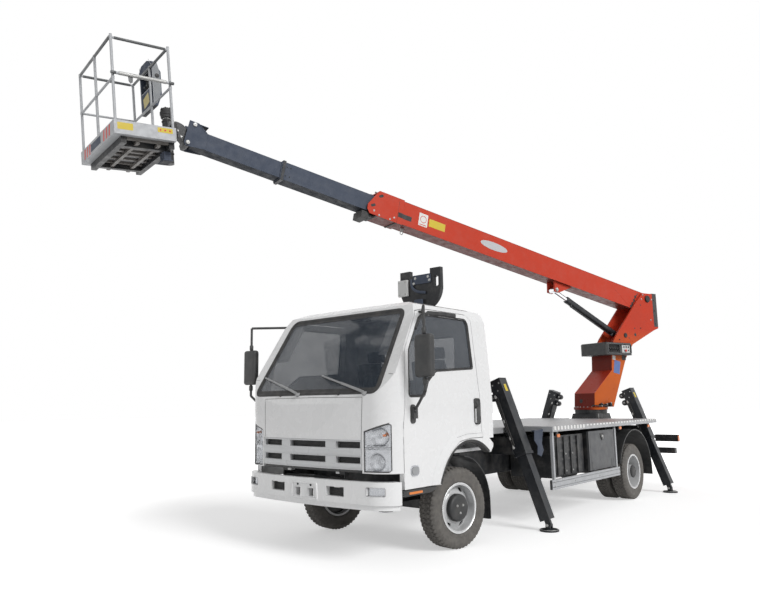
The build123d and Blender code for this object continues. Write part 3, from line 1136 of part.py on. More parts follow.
# Export with the origin on the ground under the middle of the outer box
boxes = [piece.bounding_box() for piece in PIECES]
LOW_X, HIGH_X = min(box.min.X for box in boxes), max(box.max.X for box in boxes)
LOW_Y, HIGH_Y = min(box.min.Y for box in boxes), max(box.max.Y for box in boxes)
MIDDLE = Location((-(LOW_X + HIGH_X) / 2, -(LOW_Y + HIGH_Y) / 2, 0))
print("moved by", MIDDLE.position, "length", HIGH_X - LOW_X, "width", HIGH_Y - LOW_Y)
for piece in PIECES:
    name = piece.label
    placed = piece.moved(MIDDLE)
    placed.label = name
    export_step(placed, f"parts/{name}.step")
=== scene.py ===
"""Looks of a cherry picker truck: materials, small pieces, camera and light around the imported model.

Lengths are metres. Pieces are drawn in local frames that are read from the model's joints: TRUCK stands on the
ground under the front axle, TURRET under the slewing axis with +X along the boom, BOOM lies along the boom from
its pivot, CARRIER and BASKET stand on the basket's swing axis.
"""
import json
from math import atan2, ceil, cos, hypot, pi, radians, sin

import bmesh
import bpy
from mathutils import Matrix, Vector
from mathutils.bvhtree import BVHTree


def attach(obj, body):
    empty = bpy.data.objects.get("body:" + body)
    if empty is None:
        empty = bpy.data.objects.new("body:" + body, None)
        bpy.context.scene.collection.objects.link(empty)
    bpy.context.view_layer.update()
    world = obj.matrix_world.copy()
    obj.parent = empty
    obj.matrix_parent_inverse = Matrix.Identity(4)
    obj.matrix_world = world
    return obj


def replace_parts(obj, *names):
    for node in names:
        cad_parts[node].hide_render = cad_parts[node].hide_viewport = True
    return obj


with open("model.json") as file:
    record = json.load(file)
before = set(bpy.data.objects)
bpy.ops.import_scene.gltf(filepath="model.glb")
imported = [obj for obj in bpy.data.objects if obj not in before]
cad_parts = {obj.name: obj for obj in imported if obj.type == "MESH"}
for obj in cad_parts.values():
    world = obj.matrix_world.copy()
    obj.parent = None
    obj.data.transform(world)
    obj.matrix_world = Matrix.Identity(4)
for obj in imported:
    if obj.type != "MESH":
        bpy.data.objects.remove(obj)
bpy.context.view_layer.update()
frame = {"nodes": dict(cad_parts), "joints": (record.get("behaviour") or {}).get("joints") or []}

NODES = frame["nodes"]
JOINTS = {joint["name"]: joint for joint in frame["joints"]}
SIDES = (("left", 1), ("right", -1))


# Local frames
def joint_at(name):
    """A joint's place in the row frame."""
    return Vector(JOINTS[name]["pos_m"])


def joint_axis(name):
    """A joint's axis in the row frame."""
    return Vector(JOINTS[name]["axis"]).normalized()


def local_frame(origin, x_axis, y_axis):
    """The matrix of a frame with an origin and two of its axes."""
    z_axis = x_axis.cross(y_axis)
    turn = Matrix((x_axis, y_axis, z_axis)).transposed().to_4x4()
    return Matrix.Translation(origin) @ turn


kingpins = (joint_at("steer_left") + joint_at("steer_right")) / 2
TRUCK = Matrix.Translation((kingpins.x, kingpins.y, 0))
SIDEWAYS = -joint_axis("luff")
slew = joint_at("slew")
TURRET = local_frame(Vector((slew.x, slew.y, 0)), SIDEWAYS.cross(Vector((0, 0, 1))), SIDEWAYS)
BOOM = local_frame(joint_at("luff"), joint_axis("extend_mid"), SIDEWAYS)
CYLINDER = local_frame(joint_at("luff_barrel_swing"), joint_axis("luff_rod_slide"), SIDEWAYS)
swing_up = joint_axis("basket_swing")
swing_ahead = SIDEWAYS.cross(swing_up).normalized()
CARRIER = local_frame(joint_at("basket_swing"), swing_ahead, swing_up.cross(swing_ahead))
BASKET = CARRIER @ Matrix.Rotation(radians(7), 4, "Z")


# Camera: where the photograph was taken from, in the truck's frame
PHOTO_WIDTH, PHOTO_HEIGHT = 760, 590
FOCAL_PIXELS = 678.5
CENTRE_PIXELS = (379.8, 293.7)
CAMERA_AT = Vector((5.6771, 4.8659, 1.4072))
CAMERA_YAW = radians(-138.9)
CAMERA_PITCH = radians(9.1)
CAMERA_ROLL = radians(-0.9)
SENSOR_WIDTH = 36


def make_camera():
    """A camera at the photograph's place, with its lens and framing."""
    data = bpy.data.cameras.new("camera")
    camera = bpy.data.objects.new("camera", data)
    bpy.context.scene.collection.objects.link(camera)
    ahead = Vector((cos(CAMERA_YAW) * cos(CAMERA_PITCH), sin(CAMERA_YAW) * cos(CAMERA_PITCH),
                    sin(CAMERA_PITCH)))
    right = ahead.cross(Vector((0, 0, 1))).normalized()
    up = right.cross(ahead)
    rolled_right = right * cos(CAMERA_ROLL) + up * sin(CAMERA_ROLL)
    rolled_up = -right * sin(CAMERA_ROLL) + up * cos(CAMERA_ROLL)
    turn = Matrix((rolled_right, rolled_up, -ahead)).transposed().to_4x4()
    camera.matrix_world = Matrix.Translation(TRUCK @ CAMERA_AT) @ turn
    data.sensor_width = SENSOR_WIDTH
    data.lens = SENSOR_WIDTH * FOCAL_PIXELS / PHOTO_WIDTH
    data.shift_x = (PHOTO_WIDTH / 2 - CENTRE_PIXELS[0]) / PHOTO_WIDTH
    data.shift_y = (CENTRE_PIXELS[1] - PHOTO_HEIGHT / 2) / PHOTO_WIDTH
    data.clip_end = 400
    bpy.context.scene.camera = camera


make_camera()


# Materials
class Nodes:
    """A short way to build the node tree of a material, or of the world as its owner."""

    def __init__(self, name, owner=None):
        self.material = owner or bpy.data.materials.new(name)
        self.material.use_nodes = True
        self.tree = self.material.node_tree
        self.shader = self.tree.nodes.get("Principled BSDF")
        self.place = self.add("ShaderNodeTexCoord").outputs["Object"]

    def add(self, kind, **values):
        """A node whose inputs take numbers, colours or other nodes' outputs."""
        node = self.tree.nodes.new(kind)
        for key, value in values.items():
            if hasattr(node, key) and not key[0].isupper():
                setattr(node, key, value)
            else:
                self.feed(node.inputs[key.replace("_", " ")], value)
        return node

    def feed(self, socket, value):
        """Give a socket a value or link it to another node's output."""
        if isinstance(value, bpy.types.NodeSocket):
            self.tree.links.new(value, socket)
        else:
            socket.default_value = value

    def set(self, name, value):
        """Give one of the shader's own sockets a value or a link."""
        self.feed(self.shader.inputs[name], value)

    def rough(self, scale, detail, low, high):
        """Roughness that drifts between two values."""
        self.set("Roughness", self.ramp(self.noise(scale, detail), low, high, 0.3, 0.7))

    def noise(self, scale, detail=3, rough=0.5):
        """A noise pattern over the object's own coordinates."""
        return self.add("ShaderNodeTexNoise", Vector=self.place, Scale=scale, Detail=detail,
                        Roughness=rough).outputs["Fac"]

    def ramp(self, value, low, high, start=0.0, end=1.0):
        """A value remapped from one range to another, held inside it."""
        node = self.add("ShaderNodeMapRange", Value=value)
        for key, number in (("From Min", start), ("From Max", end), ("To Min", low), ("To Max", high)):
            node.inputs[key].default_value = number
        return node.outputs["Result"]

    def blend(self, share, first, second):
        """A mix of two colours."""
        node = self.tree.nodes.new("ShaderNodeMix")
        node.data_type = "RGBA"
        self.feed(node.inputs["Factor"], share)
        self.feed(node.inputs["A"], first)
        self.feed(node.inputs["B"], second)
        return node.outputs["Result"]

    def maths(self, operation, first, second=0.0):
        """One arithmetic step."""
        node = self.tree.nodes.new("ShaderNodeMath")
        node.operation = operation
        self.feed(node.inputs[0], first)
        self.feed(node.inputs[1], second)
        return node.outputs[0]

    def facing_share(self, direction):
        """How far the surface looks along a direction at rest, from 0 to 1."""
        node = self.add("ShaderNodeVectorMath", operation="DOT_PRODUCT")
        self.feed(node.inputs[0], self.add("ShaderNodeTexCoord").outputs["Normal"])
        node.inputs[1].default_value = direction
        return self.ramp(node.outputs["Value"], 0, 1, 0.5, 0.8)

    def seen(self):
        """1 for the camera's own rays and those it gets by mirror or through glass."""
        paths = self.add("ShaderNodeLightPath").outputs
        result = paths["Is Camera Ray"]
        for kind in ("Is Glossy Ray", "Is Transmission Ray"):
            result = self.maths("MAXIMUM", result, paths[kind])
        return result

    def split(self):
        """The object's own X, Y and Z."""
        return self.add("ShaderNodeSeparateXYZ", Vector=self.place).outputs

    def finish(self, bump=None, depth=0.001, strength=0.3, edge=0.0):
        """Set the surface's normal from a bump pattern and softened edges."""
        normal = None
        if edge:
            normal = self.add("ShaderNodeBevel", samples=4, Radius=edge).outputs["Normal"]
        if bump is not None:
            node = self.add("ShaderNodeBump", Height=bump, Distance=depth, Strength=strength)
            if normal:
                self.feed(node.inputs["Normal"], normal)
            normal = node.outputs["Normal"]
        if normal:
            self.feed(self.shader.inputs["Normal"], normal)
        return self.material


def rgba(colour):
    """A colour with full cover."""
    return (*colour, 1.0)


def shade(colour, share):
    """A colour made darker or lighter."""
    return tuple(min(1.0, part * share) for part in colour)


def paint(name, colour, rough=0.3, coat=0.5, dust=0.1, edge=0.002, grain=260, depth=0.0004, under=None,
          shine=0.5):
    """Sprayed paint: clouding, orange peel, dust in patches, and painted shade on faces that look along
    `under`.
    """
    make = Nodes(name)
    cloud = make.noise(2.2, 4)
    base = make.blend(cloud, rgba(shade(colour, 0.94)), rgba(shade(colour, 1.05)))
    patch = make.ramp(make.noise(7, 6, 0.65), 0, dust, 0.45, 0.75)
    base = make.blend(patch, base, (0.42, 0.4, 0.37, 1))
    # Painted shade: faces that look along `under` are darkened towards a fifth of the colour.
    if under is not None:
        base = make.blend(make.facing_share(under), base, rgba(shade(colour, 0.22)))
    make.set("Base Color", base)
    make.rough(11, 5, rough * 0.8, min(1, rough * 1.35))
    make.set("Coat Weight", coat)
    make.set("Coat Roughness", 0.08)
    make.set("Specular IOR Level", shine)
    return make.finish(make.noise(grain, 2), depth, 0.25, edge)


def metal(name, colour, rough, edge, stain, bare=1.0):
    """Metal with faint stains and a cast grain; `bare` is how metallic it looks."""
    make = Nodes(name)
    patch = make.ramp(make.noise(9, 6, 0.6), 0, stain, 0.4, 0.8)
    make.set("Base Color", make.blend(patch, rgba(colour), rgba(shade(colour, 0.55))))
    make.set("Metallic", bare)
    make.rough(24, 5, rough * 0.75, min(1, rough * 1.4))
    return make.finish(make.noise(320, 3), 0.0004, 0.3, edge)


def plastic(name, colour, rough=0.5, grain=420, strength=0.45, edge=0.002, dust=0.1):
    """Moulded plastic or rubber with a leathery grain."""
    make = Nodes(name)
    patch = make.ramp(make.noise(8, 6, 0.6), 0, dust, 0.4, 0.75)
    make.set("Base Color", make.blend(patch, rgba(colour), (0.34, 0.32, 0.29, 1)))
    make.rough(15, 4, rough * 0.85, min(1, rough * 1.2))
    pattern = make.add("ShaderNodeTexVoronoi", Vector=make.place, Scale=grain).outputs["Distance"]
    return make.finish(pattern, 0.0006, strength, edge)


def glass(name, colour, cover):
    """Tinted safety glass: part see-through, with a mirror-smooth skin that is a little rougher in patches."""
    make = Nodes(name)
    make.set("Base Color", make.blend(make.noise(3, 3), rgba(shade(colour, 0.85)), rgba(shade(colour, 1.15))))
    make.set("Roughness", make.ramp(make.noise(30, 5), 0.015, 0.07, 0.35, 0.8))
    make.set("Alpha", make.ramp(make.noise(5, 5), cover - 0.05, cover + 0.06, 0.3, 0.7))
    make.set("IOR", 1.52)
    make.set("Specular IOR Level", 0.8)
    return make.finish()


def lens(name, colour, cover, ribs=0.0):
    """Clear or coloured lamp lens, with moulded ribs where it has them."""
    make = Nodes(name)
    make.set("Base Color", make.blend(make.noise(20, 3), rgba(shade(colour, 0.9)), rgba(colour)))
    make.set("Roughness", 0.05)
    make.set("Alpha", cover)
    if ribs:
        wave = make.add("ShaderNodeTexWave", Vector=make.place, Scale=ribs, bands_direction="Y")
        return make.finish(wave.outputs["Fac"], 0.002, 0.5)
    return make.finish(make.noise(60, 2), 0.0003, 0.1)


def column_paint():
    """The turret's paint: red, with painted sunlight that turns the column's left face orange and painted shade
    on its front.
    """
    make = Nodes("column_paint")
    low = make.ramp(make.split()[2], 1, 0, 2.2, 2.6)
    painted_sunlit_left = make.maths("MULTIPLY", make.facing_share(SIDEWAYS), low)
    painted_shade_front = make.maths("MULTIPLY", make.facing_share(SIDEWAYS.cross(Vector((0, 0, 1)))), low)
    # Painted light low on the column: its left face is lit orange and its front face is shaded dark red.
    base = make.blend(painted_sunlit_left, rgba(RED), (0.6, 0.125, 0.022, 1))
    base = make.blend(painted_shade_front, base, rgba(shade(RED, 0.3)))
    cloud = make.ramp(make.noise(3, 5), 0, 0.25, 0.4, 0.8)
    make.set("Base Color", make.blend(cloud, base, (0.3, 0.06, 0.04, 1)))
    make.rough(11, 5, 0.25, 0.42)
    make.set("Specular IOR Level", 0.15)
    return make.finish(make.noise(260, 2), 0.0004, 0.25, 0.003)


def tyre_rubber():
    """Black rubber with road dust in patches."""
    make = Nodes("tyre_rubber")
    patch = make.ramp(make.noise(16, 8, 0.7), 0.1, 0.75, 0.35, 0.8)
    make.set("Base Color", make.blend(patch, (0.075, 0.071, 0.067, 1), (0.21, 0.195, 0.175, 1)))
    make.rough(20, 5, 0.62, 0.9)
    return make.finish(make.noise(240, 6, 0.7), 0.001, 0.5, 0.0015)


def seat_cloth():
    """Woven seat cover."""
    make = Nodes("seat_cloth")
    weave = make.add("ShaderNodeTexChecker", Vector=make.place, Scale=700)
    make.set("Base Color", make.blend(make.noise(40, 4), (0.085, 0.088, 0.095, 1), (0.16, 0.162, 0.17, 1)))
    make.set("Roughness", 0.92)
    make.set("Sheen Weight", 0.25)
    return make.finish(weave.outputs["Fac"], 0.0006, 0.5, 0.006)


def deck_plate():
    """Aluminium plate with a raised anti-slip pattern of short bars, laid both ways in turn."""
    make = Nodes("deck_plate")
    x, y, z = make.split()[:3]
    cell = 0.03
    height = None
    for along, over in ((x, y), (y, x)):
        shifted = make.maths("ADD", along, cell / 2) if height else along
        stretch = make.maths("PINGPONG", shifted, cell)
        short = make.maths("PINGPONG", over, cell / 2)
        bar = make.maths("MULTIPLY", make.maths("LESS_THAN", short, 0.0022),
                         make.maths("LESS_THAN", stretch, 0.011))
        height = bar if height is None else make.maths("MAXIMUM", height, bar)
    dirt = make.ramp(make.noise(9, 7, 0.65), 0, 0.65, 0.35, 0.8)
    make.set("Base Color", make.blend(dirt, (0.42, 0.425, 0.435, 1), (0.22, 0.212, 0.2, 1)))
    make.set("Metallic", 0.4)
    make.rough(30, 5, 0.3, 0.55)
    return make.finish(height, 0.0015, 0.5, 0.002)


WHITE = (0.83, 0.832, 0.835)
RED = (0.56, 0.05, 0.022)
SLATE = (0.066, 0.08, 0.112)
BLACK = (0.012, 0.013, 0.015)
# The boom's downward direction; the boom and section paints darken faces that look along it as painted shade.
BOOM_DOWN = BOOM.to_3x3() @ Vector((0, 0, -1))
M = {
    "white": paint("cab_white", WHITE, 0.24, 0.3, 0.0, 0.004, 260, 0.00005, None, 0.4),
    "red": paint("boom_red", RED, 0.42, 0.04, 0.05, 0.003, 260, 0.0002, BOOM_DOWN, 0.22),
    "column_red": column_paint(),
    "slate": paint("section_slate", SLATE, 0.55, 0.0, 0.05, 0.003, 260, 0.0003, BOOM_DOWN, 0.2),
    "black_steel": paint("chassis_black", BLACK, 0.46, 0.1, 0.15, 0.003, 180, 0.0006, None, 0.3),
    "leg_black": paint("leg_black", (0.012, 0.014, 0.018), 0.42, 0.08, 0.06, 0.004, 260, 0.0004, None, 0.35),
    "aluminium": metal("aluminium_mill", (0.45, 0.46, 0.475), 0.5, 0.002, 0.3, 0.12),
    "steel": metal("zinc_steel", (0.42, 0.42, 0.41), 0.38, 0.001, 0.3, 0.5),
    "chrome": metal("chrome_rod", (0.83, 0.84, 0.86), 0.08, 0.0, 0.03),
    "rim": paint("rim_silver", (0.56, 0.565, 0.57), 0.34, 0.4, 0.16, 0.003),
    "black_plastic": plastic("black_plastic", (0.02, 0.021, 0.022), 0.48),
    "grey_plastic": plastic("grey_plastic", (0.07, 0.073, 0.078), 0.5),
    "pale_plastic": plastic("pale_plastic", (0.6, 0.61, 0.6), 0.45, 500, 0.3),
    "rubber": plastic("rubber_seal", (0.014, 0.014, 0.015), 0.62, 300, 0.3),
    "glass": glass("tinted_glass", (0.062, 0.078, 0.1), 0.45),
    "grille": paint("grille_silver", (0.6, 0.61, 0.62), 0.3, 0.5, 0.08, 0.004),
    "tyre": tyre_rubber(),
    "cloth": seat_cloth(),
    "deck": deck_plate(),
    "clear_lens": lens("clear_lens", (0.42, 0.44, 0.46), 0.14),
    "amber_lens": lens("amber_lens", (0.85, 0.2, 0.01), 0.9, 60),
    "red_lens": lens("red_lens", (0.6, 0.01, 0.01), 0.92, 60),
    "reflector": metal("lamp_reflector", (0.42, 0.43, 0.45), 0.22, 0.0, 0.3),
    "mirror": metal("mirror_glass", (0.88, 0.9, 0.92), 0.02, 0.0, 0.02),
    # Silver for labels, also painted highlight along the basket control box's edges.
    "silver_label": paint("silver_label", (0.55, 0.56, 0.58), 0.35, 0.3, 0.08, 0.0, 300, 0.0001),
    "grey_brown": paint("tray_ribs", (0.11, 0.1, 0.092), 0.5, 0.1, 0.25, 0.003),
    # Grey for grips and levers, also painted shade on the basket's top rails.
    "grip_grey": paint("grip_grey", (0.075, 0.08, 0.085), 0.45, 0.2, 0.2, 0.001),
    "wiper_grey": paint("wiper_grey", (0.3, 0.305, 0.31), 0.4, 0.3, 0.15, 0.0),
    # Bright metal for the rims' lip: painted highlight.
    "rim_bright": metal("rim_edge", (0.75, 0.755, 0.76), 0.25, 0.0, 0.2),
    "pale_lens": lens("pale_lens", (0.4, 0.41, 0.42), 0.75, 60),
    "box_grey": plastic("box_grey", (0.2, 0.212, 0.225), 0.45, 500, 0.3),
    "dark_line": plastic("dark_line", (0.03, 0.03, 0.032), 0.6, 400, 0.2, 0.0),
}
LABEL_TONES = {
    "yellow_label": (0.66, 0.5, 0.03),
    "white_label": (0.8, 0.8, 0.78),
    "blue_label": (0.1, 0.17, 0.42),
    "red_label": (0.62, 0.04, 0.03),
    "orange_label": (0.8, 0.22, 0.03),
    "ochre_label": (0.62, 0.52, 0.2),
}
for look, tone in LABEL_TONES.items():
    M[look] = paint(look, tone, 0.45, 0.1, 0.12, 0.0, 300, 0.0001)

# The solids' looks; a star stands for left and right
CAD_LOOKS = {
    "white": "cab_shell door_* front_bumper",
    "black_steel": "chassis_frame engine_block front_axle rear_axle subframe knuckle_* battery_box toolbox "
                   "rear_bars boom_rest basket_frame basket_carrier",
    "leg_black": "leg_box_front_* leg_box_rear_* leg_front_* leg_rear_* luff_barrel",
    "black_plastic": "wheel_arch_* control_console mirror_*",
    "grey_plastic": "toolbox_door dashboard",
    "aluminium": "guard_* fuel_tank basket_cage gate_bar",
    "deck": "deck",
    "glass": "windscreen rear_window door_glass_*",
    "grille": "grille",
    "clear_lens": "headlamps",
    "cloth": "seats",
    "column_red": "turret",
    "red": "boom_outer",
    "slate": "boom_mid boom_inner basket_console",
    "chrome": "luff_rod",
    "tyre": "tyre_front_* tyres_rear_*",
    "rim": "rim_front_* rims_rear_*",
}
for look, names in CAD_LOOKS.items():
    for name in names.split():
        for tag in ("left", "right") if "*" in name else ("",):
            slots = NODES[name.replace("*", tag)].data.materials
            slots.clear()
            slots.append(M[look])


# Mesh tools: each draws into the draft in a local frame
class Draft:
    """The mesh being drawn, until piece() takes it."""

    def __init__(self):
        self.mesh = bmesh.new()

    def corner(self, point):
        """A new vertex."""
        return self.mesh.verts.new(point)

    def face(self, corners):
        """A new face between vertices."""
        self.mesh.faces.new(corners)

    def take(self):
        """The finished mesh; the next one starts empty."""
        done, self.mesh = self.mesh, bmesh.new()
        return done


draft = Draft()


def angles(count, first=0):
    """Even steps round a circle, from a first angle in degrees."""
    return [radians(first) + 2 * pi * i / count for i in range(count)]


def box(x0, x1, y0, y1, z0, z1):
    """A block between two corners."""
    corners = [draft.corner((x, y, z)) for x in (x0, x1) for y in (y0, y1) for z in (z0, z1)]
    for face in ((0, 1, 3, 2), (4, 6, 7, 5), (0, 4, 5, 1), (2, 3, 7, 6), (0, 2, 6, 4), (1, 5, 7, 3)):
        draft.face([corners[i] for i in face])


def joined(rows, closed=True, caps=False):
    """Faces between rows of corners; each row is a ring or an open line, and caps fill the outer rings."""
    for first, second in zip(rows, rows[1:]):
        for i in range(len(first) if closed else len(first) - 1):
            j = (i + 1) % len(first)
            draft.face((first[i], first[j], second[j], second[i]))
    if caps:
        draft.face(list(reversed(rows[0])))
        draft.face(rows[-1])


def turned(start, end, profile, turns=24):
    """A body of rings about a line: the profile is (share of the line, radius) pairs."""
    start, end = Vector(start), Vector(end)
    along = end - start
    side = along.orthogonal().normalized()
    other = along.normalized().cross(side)
    rings = []
    for share, radius in profile:
        centre = start + along * share
        rings.append([draft.corner(centre + (side * cos(a) + other * sin(a)) * radius) for a in angles(turns)])
    joined(rings, caps=True)


def soft_ends(low, high, soft):
    """The profile of a round bar that narrows at both ends."""
    return (0, low), (soft, high), (1 - soft, high), (1, low)


def bar(start, end, radius, turns=16):
    """A round bar with softened ends."""
    length = (Vector(end) - Vector(start)).length
    turned(start, end, soft_ends(radius * 0.8, radius, min(0.25, radius * 0.2 / max(length, 1e-6))), turns)


def prism(outline, depth, matrix=Matrix.Identity(4)):
    """A flat outline in the matrix's XY plane, thickened along its Z."""
    low = [draft.corner(matrix @ Vector((x, y, 0))) for x, y in outline]
    high = [draft.corner(matrix @ Vector((x, y, depth))) for x, y in outline]
    draft.face(list(reversed(low)))
    draft.face(high)
    joined([low, high])


def rounded(width, height, radius, steps=5):
    """The outline of a rectangle with round corners, about the origin."""
    points = []
    for cx, cy, start in ((1, 1, 0), (-1, 1, 90), (-1, -1, 180), (1, -1, 270)):
        for i in range(steps + 1):
            angle = radians(start + 90 * i / steps)
            points.append((cx * (width / 2 - radius) + radius * cos(angle),
                           cy * (height / 2 - radius) + radius * sin(angle)))
    return points


def plate(width, height, radius, depth, matrix):
    """A flat plate with round corners."""
    prism(rounded(width, height, radius), depth, matrix)


def smooth_path(points, steps=8):
    """Points along a soft curve through hand-set points."""
    points = [Vector(p) for p in points]
    ends = [points[0] * 2 - points[1]] + points + [points[-1] * 2 - points[-2]]
    path = []
    for a, b, c, d in zip(ends, ends[1:], ends[2:], ends[3:]):
        for i in range(steps):
            t = i / steps
            path.append(0.5 * ((2 * b) + (c - a) * t + (2 * a - 5 * b + 4 * c - d) * t * t
                               + (3 * b - a - 3 * c + d) * t ** 3))
    path.append(points[-1])
    return path


def sweep(path, radius, turns=10, up=None, tall=None, closed=False):
    """A bar along a path; along `up`, where given, its half size is `tall`. A closed one joins its ends."""
    path = [Vector(point) for point in path]
    last = len(path) - 1
    side = Vector(up) if up else (path[1] - path[0]).orthogonal().normalized()
    rings = []
    for i, point in enumerate(path):
        if closed:
            ahead = (path[(i + 1) % len(path)] - path[i - 1]).normalized()
        else:
            ahead = (path[min(i + 1, last)] - path[max(i - 1, 0)]).normalized()
        if up:
            side = Vector(up)
        side = (side - ahead * side.dot(ahead)).normalized()
        other = ahead.cross(side)
        rings.append([draft.corner(point + side * cos(a) * (tall or radius) + other * sin(a) * radius)
                      for a in angles(turns)])
    if closed:
        rings.append(rings[0])
    joined(rings, caps=not closed)


def bolts(places, axis, radius, height):
    """Hexagon bolt heads on washers at several places."""
    axis = Vector(axis).normalized()
    for place in places:
        place = Vector(place)
        turned(place, place + axis * height * 0.3, ((0, radius * 1.35), (1, radius * 1.3)), 16)
        turned(place + axis * height * 0.3, place + axis * height,
               ((0, radius), (0.8, radius), (1, radius * 0.8)), 6)


SLOT_LOOKS = {
    "white_paint": "white yellow_label white_label blue_label red_label orange_label ochre_label silver_label",
    "red_paint": "red column_red",
    "grey_paint": "slate grey_brown",
    "chassis_black": "black_steel leg_black",
    "aluminium": "aluminium deck grip_grey",
    "bright_trim": "steel grille reflector mirror wiper_grey",
    "chrome": "chrome",
    "rim_silver": "rim rim_bright",
    "black_plastic": "black_plastic grey_plastic pale_plastic box_grey rubber dark_line",
    "glass": "glass",
    "tyre": "tyre",
    "seat_fabric": "cloth",
    "lamp": "clear_lens amber_lens red_lens pale_lens",
}
SLOT_OF = {look: slot for slot, looks in SLOT_LOOKS.items() for look in looks.split()}
PLACES = {"turret": TURRET, "luff_barrel": CYLINDER, "boom_outer": BOOM, "boom_mid": BOOM, "boom_inner": BOOM,
          "basket_carrier": CARRIER, "basket": BASKET, "gate_bar": BASKET}


def piece(name, look, body, place=None, bevel=0.0, angle=35):
    """Finish the draft as one piece that rides on a body, drawn in the body's own frame or in `place`."""
    mesh = draft.take()
    bmesh.ops.recalc_face_normals(mesh, faces=mesh.faces)
    data = bpy.data.meshes.new(name)
    mesh.to_mesh(data)
    mesh.free()
    data.transform(place or PLACES.get(body, TRUCK))
    data.materials.append(M[look])
    data.polygons.foreach_set("use_smooth", [True] * len(data.polygons))
    data.set_sharp_from_angle(angle=radians(angle))
    result = bpy.data.objects.new(name, data)
    bpy.context.scene.collection.objects.link(result)
    if bevel:
        soften = result.modifiers.new("bevel", "BEVEL")
        soften.width = bevel
        soften.segments = 2
        soften.limit_method = "ANGLE"
        soften.angle_limit = radians(angle)
        soften.harden_normals = True
    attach(result, body)
    return result


# Rays onto the model's own surfaces, so that thin pieces lie on them
TREES = {}


def touch(nodes, start, direction, place=TRUCK):
    """Where a ray in a local frame first meets some nodes, and the surface's outward direction there."""
    nearest = None
    for node in nodes:
        if node not in TREES:
            mesh = NODES[node].data
            TREES[node] = BVHTree.FromPolygons([v.co for v in mesh.vertices],
                                               [p.vertices for p in mesh.polygons])
        met = TREES[node].ray_cast(place @ Vector(start), place.to_3x3() @ Vector(direction))
        if met[0] is not None and (nearest is None or met[3] < nearest[3]):
            nearest = met
    if nearest is None:
        raise ValueError(f"no surface of {nodes} at {start}")
    back = place.inverted()
    normal = back.to_3x3() @ nearest[1]
    if normal.dot(Vector(direction)) > 0:
        normal = -normal
    return back @ nearest[0], normal.normalized()


def on(centre, outward, tilt=0.0):
    """The matrix of a plane at a point: its Z looks outward, its Y up as far as it can."""
    out = Vector(outward).normalized()
    up = Vector((1, 0, 0)) if abs(out.z) > 0.9 else Vector((0, 0, 1))
    side = up.cross(out).normalized()
    return local_frame(Vector(centre), side, out.cross(side)) @ Matrix.Rotation(tilt, 4, "Z")


def beside(side, x, y, z):
    """The plane of a face that looks to one side, at a distance from the middle."""
    return on((x, side * y, z), (0, side, 0))


def skin(rows, closed=True):
    """A surface through rows of points."""
    joined([[draft.corner(point) for point in row] for row in rows], closed)


CORNER_STEPS = 6


def soft_loop(corners, radius, step=0.05):
    """A closed outline with soft corners, in steps short enough to follow a curved skin."""
    corners = [Vector(corner) for corner in corners]
    turned_points = []
    for before, corner, after in zip(corners[-1:] + corners[:-1], corners, corners[1:] + corners[:1]):
        start = corner + (before - corner).normalized() * radius
        end = corner + (after - corner).normalized() * radius
        for i in range(CORNER_STEPS + 1):
            t = i / CORNER_STEPS
            turned_points.append(start * (1 - t) ** 2 + corner * 2 * t * (1 - t) + end * t * t)
    return even(turned_points + turned_points[:1], step)[:-1]


def even(points, step=0.05):
    """Points of a broken line with more points between them."""
    points = [Vector(point) for point in points]
    line = []
    for a, b in zip(points, points[1:]):
        count = max(1, ceil((b - a).length / step))
        line += [a.lerp(b, i / count) for i in range(count)]
    return line + [points[-1]]


def grown(loop, amount):
    """A closed flat outline moved outward."""
    area = sum(a.x * b.y - b.x * a.y for a, b in zip(loop, loop[1:] + loop[:1]))
    reach = amount if area > 0 else -amount
    result = []
    for i, point in enumerate(loop):
        along = loop[(i + 1) % len(loop)] - loop[i - 1]
        result.append(point + Vector((along.y, -along.x)).normalized() * reach)
    return result


def from_front(point):
    """A ray at the truck's front for a (y, z) point."""
    return (2.5, point[0], point[1]), (-1, 0, 0)


def from_side(side):
    """Rays at one side of the truck for (x, z) points."""
    return lambda point: ((point[0], side * 2.0, point[1]), (0, -side, 0))


def from_back(point):
    """A ray at the cab's back for a (y, z) point."""
    return (-1.5, point[0], point[1]), (1, 0, 0)


def laid(points, ray, nodes, proud=0.0):
    """Flat points carried onto a skin."""
    result = []
    for point in points:
        hit, normal = touch(nodes, *ray(point))
        result.append(hit + normal * proud)
    return result


def rim_band(loop, ray, nodes, rows):
    """A closed band on a skin: each row is how far outside the outline and how proud it runs."""
    skin([laid(grown(loop, out), ray, nodes, proud) for out, proud in rows])


def seams(name, body, look, nodes, ray, lines, radius=0.0022):
    """Thin lines on a skin, such as shut lines and joints."""
    for line in lines:
        sweep(laid(even(line), ray, nodes, 0.0), radius, 6)
    piece(name, look, body)


def label(name, look, body, centre, outward, width, height, tilt=0.0, depth=0.001, place=None):
    """A thin blank plate or sticker."""
    plate(width, height, 0.006, depth, on(centre, outward, tilt))
    piece(name, look, body, place)


# Wheels: tyres with a block tread, hub caps and nuts; a row is its distance from the middle, its radius and how
# many steps its blocks are shifted round the tyre
TREAD_ROWS = ((0.0755, 0.3835, 0), (0.062, 0.3835, 0), (0.056, 0.3735, None), (0.050, 0.3735, None),
              (0.044, 0.3835, 2), (0.022, 0.3835, 2), (0.016, 0.3735, None), (0.010, 0.3735, None),
              (0.004, 0.3835, 1))
SIDEWALL = ((0.0797, 0.2355), (0.0955, 0.249), (0.1005, 0.262), (0.1015, 0.270), (0.1005, 0.274),
            (0.104, 0.292), (0.1052, 0.309), (0.1038, 0.328), (0.1045, 0.332), (0.1032, 0.337), (0.098, 0.352),
            (0.093, 0.361))
PITCHES, STEPS = 52, 5


